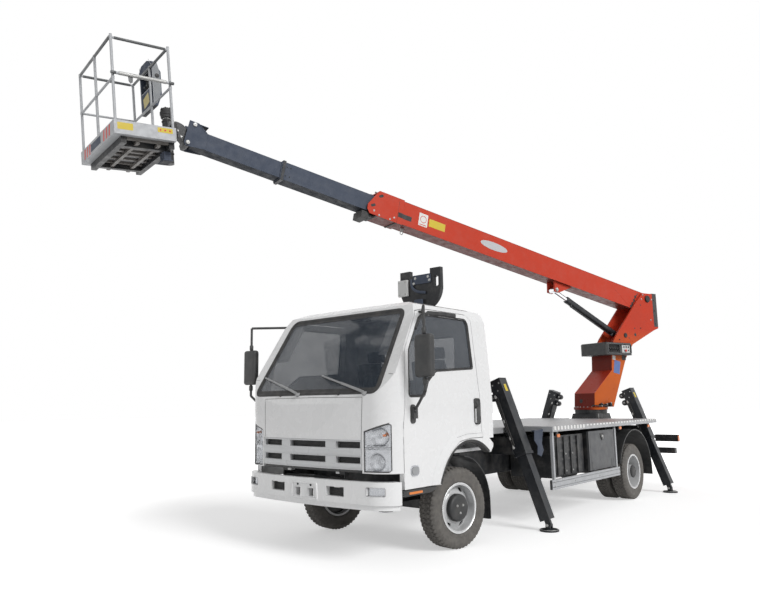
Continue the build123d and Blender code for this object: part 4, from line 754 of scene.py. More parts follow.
def draw_tyre(middle):
    """One tyre about the local Y axis: sidewalls with fine rings, shoulder lugs and staggered tread blocks."""
    turns = PITCHES * STEPS
    half = [(y, radius, None, 0) for y, radius in SIDEWALL] + [(0.0875, 0.3705, 0, 0.006)]
    half += [(y, radius, shift, 0.01) for y, radius, shift in TREAD_ROWS]
    profile = [(-y, radius, shift, depth) for y, radius, shift, depth in half] + list(reversed(half))
    rows = []
    for y, radius, shift, depth in profile:
        row = []
        for k in range(turns):
            low = shift is not None and (k + shift) % STEPS > 2
            reach = radius - (depth if low else 0)
            angle = 2 * pi * k / turns
            row.append(Vector((reach * sin(angle), middle + y, reach * cos(angle))))
        rows.append(row)
    skin(rows)


def wheel_frame(joint):
    """The frame at a wheel's centre, with Y along its axle."""
    axle = joint_axis(joint)
    return local_frame(joint_at(joint), axle.cross(Vector((0, 0, 1))), axle)


def wheel_ring(radius, y, count, first=0):
    """Points round a wheel's axle."""
    return [Vector((radius * sin(a), y, radius * cos(a))) for a in angles(count, first)]


for name, side in SIDES:
    out = (0, side, 0)
    for end, replaced, middles, lip in (("front", "tyre_front", (0,), 0.089),
                                        ("rear", "tyres_rear", (-0.12, 0.12), 0.209)):
        body = f"wheel_{end}_{name}"
        spot = wheel_frame(f"roll_{end}_{name}")
        for middle in middles:
            draw_tyre(middle)
        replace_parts(piece(f"tread_{end}_{name}", "tyre", body, spot, angle=28), f"{replaced}_{name}")
        # The rim's lip is a real ring, drawn in bright metal as a painted highlight.
        sweep(wheel_ring(0.2345, side * lip, 72), 0.0065, 8, closed=True)
        piece(f"rim_edge_{end}_{name}", "rim_bright", body, spot)
        if end == "front":
            # A flat black ring behind the front rim's hand holes: painted shade that darkens the holes.
            sweep(wheel_ring(0.18, side * -0.018, 72), 0.033, 8, closed=True, up=(0, 1, 0), tall=0.003)
            piece(f"hand_hole_painted_shade_{name}", "black_plastic", body, spot)
            turned((0, side * 0.03, 0), (0, side * 0.1, 0),
                   ((0, 0.13), (0.6, 0.131), (0.72, 0.128), (0.86, 0.121), (0.95, 0.106), (0.97, 0.082),
                    (0.97, 0.075), (0.985, 0.07), (1, 0.045)), 48)
            piece(f"hub_cap_{name}", "black_plastic", body, spot, 0.001)
            bolts(wheel_ring(0.046, side * 0.098, 3, 60), out, 0.0095, 0.012)
            piece(f"hub_studs_{name}", "steel", body, spot)
        else:
            bolts(wheel_ring(0.122, side * 0.022, 6), out, 0.017, 0.03)
            piece(f"wheel_nuts_{name}", "steel", body, spot)
            turned((0, side * 0.195, 0), (0, side * 0.212, 0),
                   ((0, 0.088), (0.5, 0.089), (0.8, 0.08), (1, 0.03)), 32)
            bolts(wheel_ring(0.068, side * 0.204, 8), out, 0.007, 0.009)
            piece(f"hub_end_{name}", "black_steel", body, spot)

# Windscreen: rubber surround, black border, wipers
SCREEN_NODES = ("cab_shell", "windscreen")
SCREEN = soft_loop(((0.85, 1.5), (0.79, 2.29), (-0.79, 2.29), (-0.85, 1.5)), 0.085)
rim_band(SCREEN, from_front, SCREEN_NODES,
         ((0.016, -0.002), (0.016, 0.004), (0.006, 0.007), (-0.006, 0.006), (-0.012, 0.003), (-0.012, -0.002)))
piece("screen_seal", "rubber", "cab")
low_border = [point + Vector((0, 0.05)) if point.y < 1.52 else point for point in grown(SCREEN, -0.04)]
skin([laid(line, from_front, ("windscreen",), 0.0012) for line in (grown(SCREEN, -0.01), low_border)])
piece("screen_border", "rubber", "cab")

for name, pivot, tip, knob in (("right", (-0.177, 1.491), (-0.79, 1.665), (-0.438, 1.488)),
                               ("left", (0.712, 1.488), (0.073, 1.656), (0.377, 1.488))):
    start = laid([pivot], from_front, SCREEN_NODES, 0.026)[0]
    arm = [Vector(pivot).lerp(Vector(tip), share) for share in (0.2, 0.36, 0.52, 0.68, 0.84, 1.0)]
    line = laid(arm, from_front, SCREEN_NODES, 0.03)
    sweep(smooth_path([start, line[0], line[2]], 5), 0.013, 8, up=(1, 0, 0), tall=0.006)
    sweep(smooth_path([line[1] + Vector((0.004, 0, 0)), line[3], line[5] + Vector((0.002, 0, 0))], 5), 0.009, 8,
          up=(1, 0, 0), tall=0.0045)
    base = touch(SCREEN_NODES, *from_front(pivot))[0]
    turned(base - Vector((0.01, 0, 0)), base + Vector((0.036, 0, 0)),
           ((0, 0.022), (0.4, 0.02), (0.75, 0.018), (0.9, 0.016), (1, 0.01)), 20)
    piece(f"wiper_arm_{name}", "wiper_grey", "cab", bevel=0.0005)
    rubber = [Vector(pivot).lerp(Vector(tip), 0.12 + 0.92 * i / 12) for i in range(13)]
    sweep(laid(rubber, from_front, SCREEN_NODES, 0.01), 0.009, 6, up=(1, 0, 0), tall=0.004)
    knob_at = touch(SCREEN_NODES, *from_front(knob))[0]
    turned(knob_at, knob_at + Vector((0.022, 0, 0.006)),
           ((0, 0.014), (0.5, 0.013), (0.8, 0.01), (1, 0.005)), 16)
    piece(f"wiper_blade_{name}", "rubber", "cab")

# Front of the cab: lid joints, slot mesh before a black sheet of painted shade, raised grille bars
seams("lid_joints", "cab", "dark_line", ("cab_shell",), from_front,
      [[(-0.66, 1.458), (0.0, 1.462), (0.686, 1.456)], [(-0.66, 1.458), (-0.655, 1.081)],
       [(0.686, 1.456), (0.672, 1.081)], [(0.90, 1.662), (0.955, 1.656)], [(-0.90, 1.662), (-0.955, 1.656)],
       [(0.70, 1.153), (0.932, 1.228)], [(-0.70, 1.153), (-0.932, 1.228)]])


NOSE_X, NOSE_BOW, NOSE_HEIGHT = 1.19, 11.75, 1.13
LEAN_ABOVE, LEAN_BELOW = 0.055, 0.015


def nose(y, z, back=0.0):
    """A point on the cab's front, which is bowed across and leans back above and below its foremost height."""
    above, below = max(0.0, z - NOSE_HEIGHT), max(0.0, NOSE_HEIGHT - z)
    x = min(NOSE_X - y * y / NOSE_BOW, NOSE_X - above * LEAN_ABOVE - below * LEAN_BELOW)
    return Vector((x - back, y, z))


def bowed(half, z, back=0.0, count=24):
    """A line along the bowed front, from its right to its left."""
    return [nose(half * (2 * i / count - 1), z, back) for i in range(count + 1)]


for z, half, deep, sink in ((0.966, 0.033, 0.011, 0.0), (0.846, 0.021, 0.009, 0.002),
                            (1.0695, 0.0085, 0.006, 0.003)):
    sweep(bowed(0.668, z, 0.003 + sink), deep, 16, up=(0, 0, 1), tall=half)
piece("grille_bars", "grille", "cab")
# A solid black sheet behind the slots is painted shade for the dark space behind the grille; the wires before
# it are the mesh.
skin([bowed(0.674, 0.80, 0.052), bowed(0.674, 1.074, 0.052)], closed=False)
for row in (0.899, 1.033):
    for lift in (-0.014, 0.0, 0.014):
        sweep(bowed(0.656, row + lift, 0.036), 0.0022, 6)
    for low, high in zip(bowed(0.656, row - 0.027, 0.038, 80), bowed(0.656, row + 0.027, 0.038, 80)):
        bar(low, high, 0.0018, 5)
sweep(bowed(0.66, 0.806, 0.028), 0.012, 10, up=(0, 0, 1), tall=0.016)
piece("grille_mesh_and_painted_shade", "black_plastic", "cab")

# Headlamps: a silver housing with two bowls behind each lens
LAMP_COLUMNS, LAMP_ROWS = 30, 42
LAMP_INNER, LAMP_WIDTH, LAMP_FOOT, LAMP_TOP, LAMP_RISE = 0.703, 0.228, 0.811, 1.146, 0.07
LAMP_BOWLS = ((0.835, 1.105, 0.078, 0.038), (0.812, 0.885, 0.072, 0.034))
LAMP_DIVIDER = (1.0, 1.028)


def lamp_depth(i, j, y, z):
    """How far behind the lens the housing lies."""
    if LAMP_DIVIDER[0] < z < LAMP_DIVIDER[1]:
        return 0.008 + 0.003 * (i % 2)
    deep = 0.012 + 0.01 * min(1.0, min(i, LAMP_COLUMNS - i, j, LAMP_ROWS - j) / 2)
    for cy, cz, radius, bowl in LAMP_BOWLS:
        away = hypot(y - cy, (z - cz) * 0.92) / radius
        if away < 1:
            deep += bowl * (1 - away * away) ** 0.5
    return deep


for name, side in SIDES:
    rows = []
    for j in range(LAMP_ROWS + 1):
        row = []
        for i in range(LAMP_COLUMNS + 1):
            across = i / LAMP_COLUMNS
            y = LAMP_INNER + LAMP_WIDTH * across
            z = LAMP_FOOT + (LAMP_TOP + LAMP_RISE * across - LAMP_FOOT) * j / LAMP_ROWS
            hit = touch(("headlamps",), *from_front((side * y, z)))[0]
            row.append(hit - Vector((lamp_depth(i, j, y, z), 0, 0)))
        rows.append(row)
    skin(rows, closed=False)
    piece(f"lamp_housing_{name}", "reflector", "cab", angle=50)
    for kind, y, z, look, size in (("turn", 0.872, 1.118, "amber_lens", 0.011),
                                   ("main", 0.815, 0.892, "clear_lens", 0.016),
                                   ("upper", 0.825, 1.11, "clear_lens", 0.017)):
        hit = touch(("headlamps",), *from_front((side * y, z)))[0]
        turned(hit - Vector((0.05, 0, 0)), hit - Vector((0.014, 0, 0)),
               ((0, size), (0.5, size * 1.05), (0.75, size * 0.9), (0.92, size * 0.5), (1, size * 0.15)), 16)
        piece(f"bulb_{kind}_{name}", look, "cab")
    outline = soft_loop([(side * y, z) for y, z in ((0.7, 0.805), (0.7, 1.148), (0.925, 1.217), (0.94, 1.205),
                                                    (0.94, 0.822), (0.924, 0.805))], 0.008)
    sweep(laid(outline, from_front, ("headlamps", "cab_shell"), -0.001), 0.0032, 6, closed=True)
    sweep(laid(even([(side * 0.702, 1.014), (side * 0.938, 1.014)]), from_front, ("headlamps",), -0.001),
          0.002, 6)
    piece(f"lamp_gasket_{name}", "dark_line", "cab")

# Bumper: mesh in the air holes, painted shade plates behind it and in the bracket holes, fog lamps, a blank
# plate bracket
for side in (1, -1):
    middle = 0.39 * side
    deep = touch(("front_bumper",), *from_front((0.52 * side, 0.62)))[0].x - 0.044
    # A black plate behind the mesh: painted shade for the dark inside of the air hole.
    plate(0.206, 0.08, 0.006, 0.004, on((deep, middle, 0.623), (1, 0, 0)))
    for i in range(12):
        y = middle - 0.1 + 0.2 * i / 11
        bar((deep + 0.012, y, 0.584), (deep + 0.012, y, 0.662), 0.002, 5)
    for z in (0.598, 0.612, 0.626, 0.64, 0.654):
        bar((deep + 0.014, middle - 0.103, z), (deep + 0.014, middle + 0.103, z), 0.002, 5)
    # A black plate in each bracket hole: painted shade for the hole's dark inside.
    plate(0.062, 0.07, 0.006, 0.004, on((1.166, 0.088 * side, 0.596), (1, 0, 0)))
piece("bumper_mesh_and_painted_shade", "black_plastic", "chassis")
bracket = soft_loop(((-0.178, 0.535), (0.178, 0.535), (0.17, 0.684), (-0.17, 0.684)), 0.02)
rim_band(bracket, from_front, ("front_bumper",),
         ((0.004, -0.001), (0.0, 0.009), (-0.012, 0.010), (-0.016, 0.001)))
for side in (1, -1):
    middle = 0.088 * side
    hole = soft_loop([(middle + y, z) for y, z in ((-0.04, 0.552), (0.04, 0.552), (0.04, 0.64), (-0.04, 0.64))],
                     0.012, 0.02)
    rim_band(hole, from_front, ("front_bumper",), ((0.006, -0.001), (0.006, 0.006), (0.001, 0.007)))
piece("plate_bracket", "white", "chassis")
bolts([touch(("front_bumper",), *from_front((y, 0.662)))[0] for y in (-0.088, 0.088)], (1, 0, 0), 0.009, 0.008)
piece("bracket_screws", "black_steel", "chassis")
FOG_INNER, FOG_WIDTH, FOG_FOOT, FOG_HEIGHT = 0.75, 0.156, 0.607, 0.064
for name, side in SIDES:
    for kind, proud, look, inset in (("bowl", 0.0015, "reflector", 0.0), ("glass", 0.012, "clear_lens", 0.002)):
        rows = []
        for j in range(9):
            z = FOG_FOOT + inset + (FOG_HEIGHT - 2 * inset) * j / 8
            line = [(side * (FOG_INNER + inset + (FOG_WIDTH - 2 * inset) * i / 16), z) for i in range(17)]
            bulge = 0.006 * (1 - (j / 4 - 1) ** 2)
            rows.append([p + Vector((bulge if kind == "glass" else 0.002 * (i % 2), 0, 0)) for i, p in
                         enumerate(laid(line, from_front, ("front_bumper",), proud))])
        skin(rows, closed=False)
        piece(f"fog_{kind}_{name}", look, "chassis")
    y0, y1 = side * 0.742, side * 0.915
    frame_line = soft_loop([(y0, 0.601), (y0, 0.677), (y1, 0.677), (y1, 0.601)], 0.012)
    rim_band(frame_line, from_front, ("front_bumper",), ((0.002, -0.002), (0.0, 0.0025), (-0.004, -0.002)))
    piece(f"fog_frame_{name}", "grey_plastic", "chassis")

# Doors: window rubber, handle, indicator, deflector and mirror glass; sill and arch lip on the cab
DOOR_GLASS = ((0.858, 1.462), (0.80, 1.88), (0.60, 2.20), (0.52, 2.236), (-0.18, 2.236), (-0.215, 2.19),
              (-0.215, 1.74), (0.42, 1.70), (0.56, 1.60), (0.64, 1.462))
ARCH_X, ARCH_Z = -0.06, 0.5
ARCH_ANGLES = [radians(17 + 113 * i / 40) for i in range(41)]
MIRROR_X, MIRROR_Y = 0.905, 1.215
for name, side in SIDES:
    body, shell, pane = f"door_{name}", f"door_{name}", f"door_glass_{name}"
    ray = from_side(side)
    rim_band(soft_loop(DOOR_GLASS, 0.022), ray, (shell, pane),
             ((0.014, -0.002), (0.014, 0.003), (0.004, 0.006), (-0.008, 0.003), (-0.012, -0.006)))
    deflector = [(0.668, 2.085), (0.625, 2.16), (0.56, 2.215), (0.45, 2.252), (0.2, 2.262), (-0.02, 2.262)]
    sweep(laid(even(deflector), ray, (shell, pane, "cab_shell"), 0.014), 0.008, 10, up=(0, 0, 1), tall=0.019)
    piece(f"window_rubber_{name}", "rubber", body)
    plate(0.118, 0.262, 0.034, 0.006, beside(side, -0.222, 1.002, 1.303))
    piece(f"handle_plate_{name}", "rubber", body, bevel=0.002)
    plate(0.072, 0.175, 0.026, 0.026, beside(side, -0.212, 1.004, 1.262))
    plate(0.036, 0.036, 0.017, 0.008, beside(side, -0.22, 1.006, 1.39))
    piece(f"handle_{name}", "black_plastic", body, bevel=0.004)
    plate(0.118, 0.094, 0.036, 0.009, beside(side, 0.815, 1.004, 0.803))
    piece(f"indicator_rim_{name}", "reflector", body, bevel=0.002)
    plate(0.096, 0.072, 0.028, 0.007, beside(side, 0.815, 1.012, 0.803))
    piece(f"indicator_{name}", "pale_lens", body, bevel=0.003)
    # A thin dark line along the door's crease: painted shade in the crease.
    seams(f"door_crease_painted_shade_{name}", body, "dark_line", (shell,), ray,
          [[(-0.27, 1.087), (0.0, 1.087), (0.17, 1.06)]], 0.0012)
    plate(0.15, 0.34, 0.022, 0.003, on((0.866, side * MIRROR_Y, 1.81), (-1, 0, 0)))
    piece(f"mirror_glass_{name}", "mirror", body, bevel=0.001)
    for z in (1.585, 2.03):
        x, y = MIRROR_X, side * MIRROR_Y
        turned((x, y, z - 0.03), (x, y, z + 0.03), soft_ends(0.016, 0.021, 0.15), 16)
    plate(0.07, 0.17, 0.03, 0.012, beside(side, 0.828, 1.004, 1.3))
    turned((0.825, side * 1.014, 1.322), (0.842, side * 1.06, 1.338), ((0, 0.03), (0.5, 0.026), (1, 0.017)), 16)
    piece(f"mirror_joints_{name}", "black_plastic", body, bevel=0.003)
    sill = ((0.478, 0.641), (0.964, 0.641), (0.964, 0.603), (0.93, 0.586), (0.56, 0.59), (0.492, 0.612))
    prism([(-x * side, z) for x, z in sill], 0.07, beside(side, 0, 0.922, 0))
    box(0.93, 0.985, side * 0.5, side * 0.985, 0.60, 0.64)
    piece(f"sill_{name}", "black_plastic", "cab", bevel=0.006)
    label(f"sill_reflector_{name}", "orange_label", "cab", (0.788, side * 0.992, 0.612), (0, side, 0), 0.19,
          0.02, depth=0.002)
    rows = []
    for radius, y in ((0.537, 0.93), (0.506, 0.95), (0.504, 1.0), (0.508, 1.019), (0.532, 1.0225),
                      (0.5365, 1.016)):
        rows.append([Vector((ARCH_X + radius * cos(a), side * y, ARCH_Z + radius * sin(a)))
                     for a in ARCH_ANGLES])
    skin(rows, closed=False)
    piece(f"arch_lip_{name}", "rubber", "cab")
    plate(0.33, 0.3, 0.02, 0.012, on((-0.489, side * 0.775, 0.36), (-1, 0, 0)))
    bolts([(-0.5, side * y, 0.49) for y in (0.66, 0.775, 0.89)], (-1, 0, 0), 0.008, 0.008)
    piece(f"front_flap_{name}", "rubber", "chassis", bevel=0.003)
back_pane = soft_loop(((-0.55, 1.64), (0.55, 1.64), (0.55, 2.12), (-0.55, 2.12)), 0.06)
rim_band(back_pane, from_back, ("cab_shell", "rear_window"),
         ((0.02, -0.002), (0.016, 0.006), (-0.008, 0.005), (-0.014, -0.004)))
piece("rear_window_seal", "rubber", "cab")
seams("roof_joints", "cab", "dark_line", ("cab_shell",), lambda p: ((p[0], p[1], 3.0), (0, 0, -1)),
      [[(-0.40, side * 0.80), (0.46, side * 0.80)] for side in (1, -1)], 0.004)


# Seats: crowned cushions with sewn channels stand for the plain block
CUSHION_CELLS = 40
CROWN, CORNER_PULL, UNDERSIDE = 0.12, 0.045, 0.85
SEAM_DEPTH, SEAM_WIDTH = 0.16, 0.05


def cushion(name, middle, size, tilt, channels):
    """A filled pad: flat underside, crowned top that draws in at its corners, and sewn channels."""
    across, along, thick = size
    turn = Matrix.Translation(middle) @ Matrix.Rotation(tilt, 4, "Y")
    count = CUSHION_CELLS
    for top in (1, -1):
        grid = []
        for i in range(count + 1):
            row = []
            for j in range(count + 1):
                u, v = 2 * i / count - 1, 2 * j / count - 1
                edge = (1 - abs(u) ** 5) * (1 - abs(v) ** 5)
                pull = 1 - CORNER_PULL * (abs(u * v) ** 1.5)
                sewn = 0
                if top > 0:
                    sewn = sum(SEAM_DEPTH * max(0.0, 1 - abs(v - line) / SEAM_WIDTH) ** 2 for line in channels)
                height = thick / 2 * (edge ** 0.35) * (1 + CROWN * top * (1 - u * u) * (1 - v * v) - sewn)
                if top < 0:
                    height *= UNDERSIDE
                point = Vector((v * along / 2 * pull, u * across / 2 * pull, top * height))
                row.append(draft.corner(turn @ point))
            grid.append(row)
        for i in range(count):
            for j in range(count):
                draft.face((grid[i][j], grid[i + 1][j], grid[i + 1][j + 1], grid[i][j + 1]))
    bmesh.ops.remove_doubles(draft.mesh, verts=draft.mesh.verts, dist=0.0004)
    pad = piece(name, "cloth", "cab", angle=60)
    return pad


for name, y, wide in (("driver", 0.40, 0.46), ("middle", -0.08, 0.36), ("outer", -0.46, 0.38)):
    base = cushion(f"seat_base_{name}", (0.03, y, 1.245), (wide, 0.50, 0.115), radians(-4), (-0.45, 0.0, 0.45))
    cushion(f"seat_back_{name}", (-0.27, y, 1.60), (wide, 0.52, 0.10), radians(-76), (-0.35, 0.1, 0.5))
    if name == "driver":
        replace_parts(base, "seats")
for name, y in (("driver", 0.40), ("outer", -0.46)):
    cushion(f"seat_head_{name}", (-0.345, y, 1.93), (0.25, 0.13, 0.085), radians(-80), (0.0,))
for y, radius in ((0.29, 0.055), (0.51, 0.055)):
    turned((0.872, y, 1.452), (0.846, y, 1.468),
           ((0, radius), (0.6, radius), (0.8, radius * 0.93), (1, radius * 0.9)), 28)
plate(0.36, 0.11, 0.03, 0.02, on((0.853, -0.02, 1.345), (-1, 0, 0)))
bar((0.70, 0.05, 1.2), (0.62, 0.05, 1.42), 0.009, 10)
turned((0.625, 0.05, 1.40), (0.605, 0.05, 1.46), ((0, 0.012), (0.3, 0.024), (0.8, 0.024), (1, 0.012)), 16)
piece("dash_controls", "black_plastic", "cab", bevel=0.003)

# Deck: serrated edge, side markers, boxes and guards
for side in (1, -1):
    for count, first, pitch, width, height, radius, z in ((10, -1.72, 0.085, 0.044, 0.044, 0.012, 1.078),
                                                          (25, -2.6, 0.099, 0.05, 0.022, 0.009, 1.088)):
        for i in range(count):
            prism(rounded(width, height, radius, 3), 0.0022, beside(side, first - pitch * i, 1.09, z))
piece("deck_edge_teeth", "white_label", "chassis")
for side in (1, -1):
    box(-5.04, -2.545, side * 1.086, side * 1.0925, 1.0385, 1.052)
    box(-1.665, -1.652, side * 0.705, side * 1.0925, 1.04, 1.1)
piece("deck_edge_strip", "aluminium", "chassis", bevel=0.001)
MARKERS = ((-1.79, 0.99), (-3.62, 1.012), (-4.68, 1.002))
for name, side in SIDES:
    for x, z in MARKERS:
        plate(0.086, 0.05, 0.008, 0.012, beside(side, x, 1.075, z))
        box(x - 0.02, x + 0.02, side * 1.06, side * 1.078, z - 0.012, 1.09)
    piece(f"marker_base_{name}", "black_plastic", "chassis", bevel=0.002)
    for x, z in MARKERS:
        plate(0.072, 0.038, 0.012, 0.009, beside(side, x, 1.087, z))
    piece(f"marker_{name}", "amber_lens", "chassis", bevel=0.003)
    bolts([(x, side * 1.075, z) for x in (-1.682, -3.54) for z in (0.42, 0.468)], (0, side, 0), 0.009, 0.007)
    bolts([(x, side * 1.075, 0.443) for x in (-2.2, -2.9)], (0, side, 0), 0.008, 0.006)
    piece(f"guard_bolts_{name}", "steel", "chassis")
    for x in (-1.610, -3.562):
        plate(0.03, 0.106, 0.006, 0.004, on((x, side * 1.061, 0.4435), (1 if x > -2 else -1, 0, 0)))
    # Dark lines along the guards' grooves: painted shade in the grooves.
    for z in (0.47, 0.417):
        sweep(even([(-3.55, side * 1.076, z), (-1.62, side * 1.076, z)], 0.4), 0.0022, 6)
    piece(f"guard_ends_and_groove_shade_{name}", "grey_plastic", "chassis")
plate(0.70, 0.42, 0.03, 0.002, beside(1, -3.09, 1.0452, 0.742))
for x in (-3.39, -2.79):
    plate(0.05, 0.09, 0.008, 0.006, beside(1, x, 1.0452, 0.575))
piece("toolbox_panel", "grey_plastic", "toolbox_door", bevel=0.001)
prism([(0.052, 0.03), (-0.052, 0.03), (-0.034, -0.022), (0, -0.06), (0.034, -0.022)], 0.008,
      beside(1, -3.09, 1.0455, 0.93))
piece("toolbox_latch_plate", "rubber", "toolbox_door", bevel=0.002)
turned((-3.09, 1.05, 0.925), (-3.09, 1.066, 0.925), ((0, 0.02), (0.7, 0.019), (1, 0.014)), 20)
box(-3.097, -3.083, 1.06, 1.07, 0.895, 0.94)
piece("toolbox_latch", "steel", "toolbox_door", bevel=0.001)
bolts([(x, 1.005, z) for x in (-2.3, -2.12) for z in (0.56, 0.76)], (0, 1, 0), 0.0085, 0.008)
piece("battery_bolts", "steel", "chassis")
for z in (0.60, 0.70, 0.80, 0.90):
    for x in (-2.39, -2.21, -2.03):
        plate(0.1, 0.026, 0.01, 0.004, beside(1, x, 0.99, z))
piece("battery_louvres", "black_plastic", "chassis", bevel=0.001)
hang = [(0.10, 0.14), (-0.11, 0.13), (-0.12, 0.02), (-0.045, -0.05), (-0.06, -0.14), (0.03, -0.17),
        (0.09, -0.10), (0.055, -0.02)]
prism(hang, 0.008, beside(1, -1.56, 0.96, 0.93))
box(-1.60, -1.50, 0.90, 0.97, 1.045, 1.06)
piece("hanging_bracket", "slate", "chassis", bevel=0.002)
for x in (-2.65, -2.15):
    plate(0.05, 0.462, 0.01, 0.005, on((x, -1.015, 0.73), (0, -1, 0)))
    plate(0.05, 0.54, 0.01, 0.005, on((x, -0.735, 0.9605), (0, 0, 1)) @ Matrix.Rotation(radians(90), 4, "Z"))
turned((-1.98, -0.9, 0.94), (-1.98, -0.925, 0.985), ((0, 0.035), (0.6, 0.04), (0.9, 0.038), (1, 0.02)), 24)
piece("tank_straps", "black_steel", "chassis", bevel=0.001)

# Legs: top plates, blank stickers, ear pins, hoses clamped along the front legs
LEG_LEAN = radians(20)
FOOT_Y, FOOT_Z = 1.17, 0.066
EAR_Y = 0.12


def foot_frame(x, side):
    """The upright frame of a leg's foot."""
    return TRUCK @ Matrix.Translation((x, side * FOOT_Y, FOOT_Z))


for where, leg_x, top in (("front", -1.3, 1.675), ("rear", -5.158, 1.574)):
    for name, side in SIDES:
        foot = foot_frame(leg_x, side)
        spot = foot @ Matrix.Rotation(side * LEG_LEAN, 4, "X")
        plate(0.158, 0.158, 0.012, 0.008, Matrix.Translation((0, 0, top - 0.002)))
        skin([[(x * h, y * h, z) for x, y in rounded(2, 2, 0.2, 3)]
              for h, z in ((0.0755, 0.80), (0.086, 0.798), (0.086, 0.772), (0.0755, 0.7705))])
        for z in (top - 0.06, top - 0.175):
            turned((-0.04, -side * EAR_Y, z), (0.04, -side * EAR_Y, z), soft_ends(0.018, 0.026, 0.1), 18)
        piece(f"leg_cap_{where}_{name}", "leg_black", "chassis", spot, 0.002)
        bolts([(0.04, -side * EAR_Y, z) for z in (top - 0.06, top - 0.175)], (1, 0, 0), 0.012, 0.01)
        bolts([(0.075, side * y, top - z) for y, z in ((-0.045, 0.05), (0.045, 0.05), (0, 0.13))], (1, 0, 0),
              0.007, 0.006)
        piece(f"leg_pins_{where}_{name}", "steel", "chassis", spot)
        label(f"leg_sticker_{where}_{name}", "yellow_label", "chassis", (0.0, side * 0.075, top - 0.115),
              (0, side, 0), 0.05, 0.085, place=spot)
        for z in (top - 0.23, 1.18, 0.98):
            box(0.0745, 0.095, -side * 0.02, -side * 0.062, z - 0.012, z + 0.012)
        line = [(0.088, -side * 0.048, z) for z in (top - 0.2, 1.3, 1.1, 0.9)]
        sweep(smooth_path(line, 4), 0.0085, 8)
        sweep(smooth_path([(x, y + side * 0.02, z) for x, y, z in line], 4), 0.0065, 8)
        piece(f"leg_pipes_{where}_{name}", "rubber", "chassis", spot)
        for z in (top - 0.19, 0.885, 1.19, 0.99):
            turned((0.088, -side * 0.048, z - 0.02), (0.088, -side * 0.048, z + 0.02),
                   ((0, 0.009), (0.1, 0.0135), (0.6, 0.0135), (0.7, 0.0105), (1, 0.009)), 6)
        piece(f"leg_fittings_{where}_{name}", "steel", "chassis", spot)
        for x in (-0.046, 0.046):
            turned((x, 0, -0.002), (x * 1.18, 0, -0.002), ((0, 0.012), (0.2, 0.017), (1, 0.016)), 6)
        sweep([Vector((0.095 * cos(a), 0.095 * sin(a), -0.048)) for a in angles(40)], 0.0035, 6, closed=True)
        piece(f"pad_pin_{where}_{name}", "steel", f"leg_{where}_{name}", foot)

# Boom rest, rear lamps and blank number plate
box(-0.631, -0.598, -0.318, -0.17, 2.66, 2.86)
piece("rest_pad", "pale_plastic", "chassis", bevel=0.008)
plate(0.262, 0.11, 0.02, 0.012, on((-0.630, 0.035, 2.842), (1, 0, 0)))
sweep(smooth_path([(-0.615, -0.12, 2.86), (-0.612, -0.105, 2.76), (-0.612, -0.03, 2.70), (-0.612, 0.09, 2.675)],
                  6), 0.018, 10,
      up=(1, 0, 0), tall=0.008)
box(-0.605, -0.585, -0.06, 0.06, 2.42, 2.60)
piece("rest_plates", "slate", "chassis", bevel=0.003)
bolts([(-0.618, y, z) for y, z in ((-0.06, 2.862), (0.13, 2.862), (-0.085, 2.80), (0.15, 2.82))], (1, 0, 0),
      0.013, 0.011)
bolts([(-0.598, y, z) for y in (-0.29, -0.20) for z in (2.69, 2.83)], (1, 0, 0), 0.008, 0.007)
piece("rest_bolts", "steel", "chassis")
for name, side in SIDES:
    for kind, look, y0, y1 in (("stop", "red_lens", 0.665, 0.80), ("turn", "amber_lens", 0.812, 0.90),
                               ("reverse", "pale_lens", 0.912, 0.985)):
        plate(y1 - y0, 0.08, 0.01, 0.01, on((-6.27, side * (y0 + y1) / 2, 0.745), (-1, 0, 0)))
        piece(f"tail_{kind}_{name}", look, "chassis", bevel=0.003)
    plate(0.07, 0.085, 0.012, 0.01, beside(side, -6.215, 1.01, 0.745))
    piece(f"tail_side_{name}", "amber_lens" if side > 0 else "red_lens", "chassis", bevel=0.003)
    plate(0.09, 0.07, 0.01, 0.01, on((-6.24, side * 0.90, 0.545), (-1, 0, 0)))
    piece(f"tail_reflector_{name}", "red_lens", "chassis", bevel=0.002)
label("rear_plate", "white_label", "chassis", (-6.2405, 0, 0.765), (-1, 0, 0), 0.52, 0.11, depth=0.003)
for side in (1, -1):
    plate(0.03, 0.02, 0.008, 0.03, on((-6.24, side * 0.2, 0.83), (0, 0, -1)))
    for i in range(5):
        box(-4.773, -4.767, side * 0.62, side * 1.02, 0.33 + 0.07 * i, 0.336 + 0.07 * i)
piece("rear_small_parts", "rubber", "chassis", bevel=0.001)

# Turret: mounting ring bolts, openings darkened with painted shade, blank labels, hoses and valve
LUFF_PIN = (-1.436, 3.152)
ring = [(0.247 * cos(a), 0.247 * sin(a), 1.278) for a in angles(24)]
bolts([spot for spot in ring if abs(spot[1]) >= 0.22 or spot[0] >= 0.16], (0, 0, 1), 0.009, 0.009)
piece("ring_bolts", "steel", "turret")
lean = atan2(0.02, 0.222)
prism([(0.036 * cos(a), 0.036 * sin(a)) for a in angles(6, 30)], 0.002,
      on((0.1412, -0.07, 1.376), (cos(lean), 0, sin(lean))))
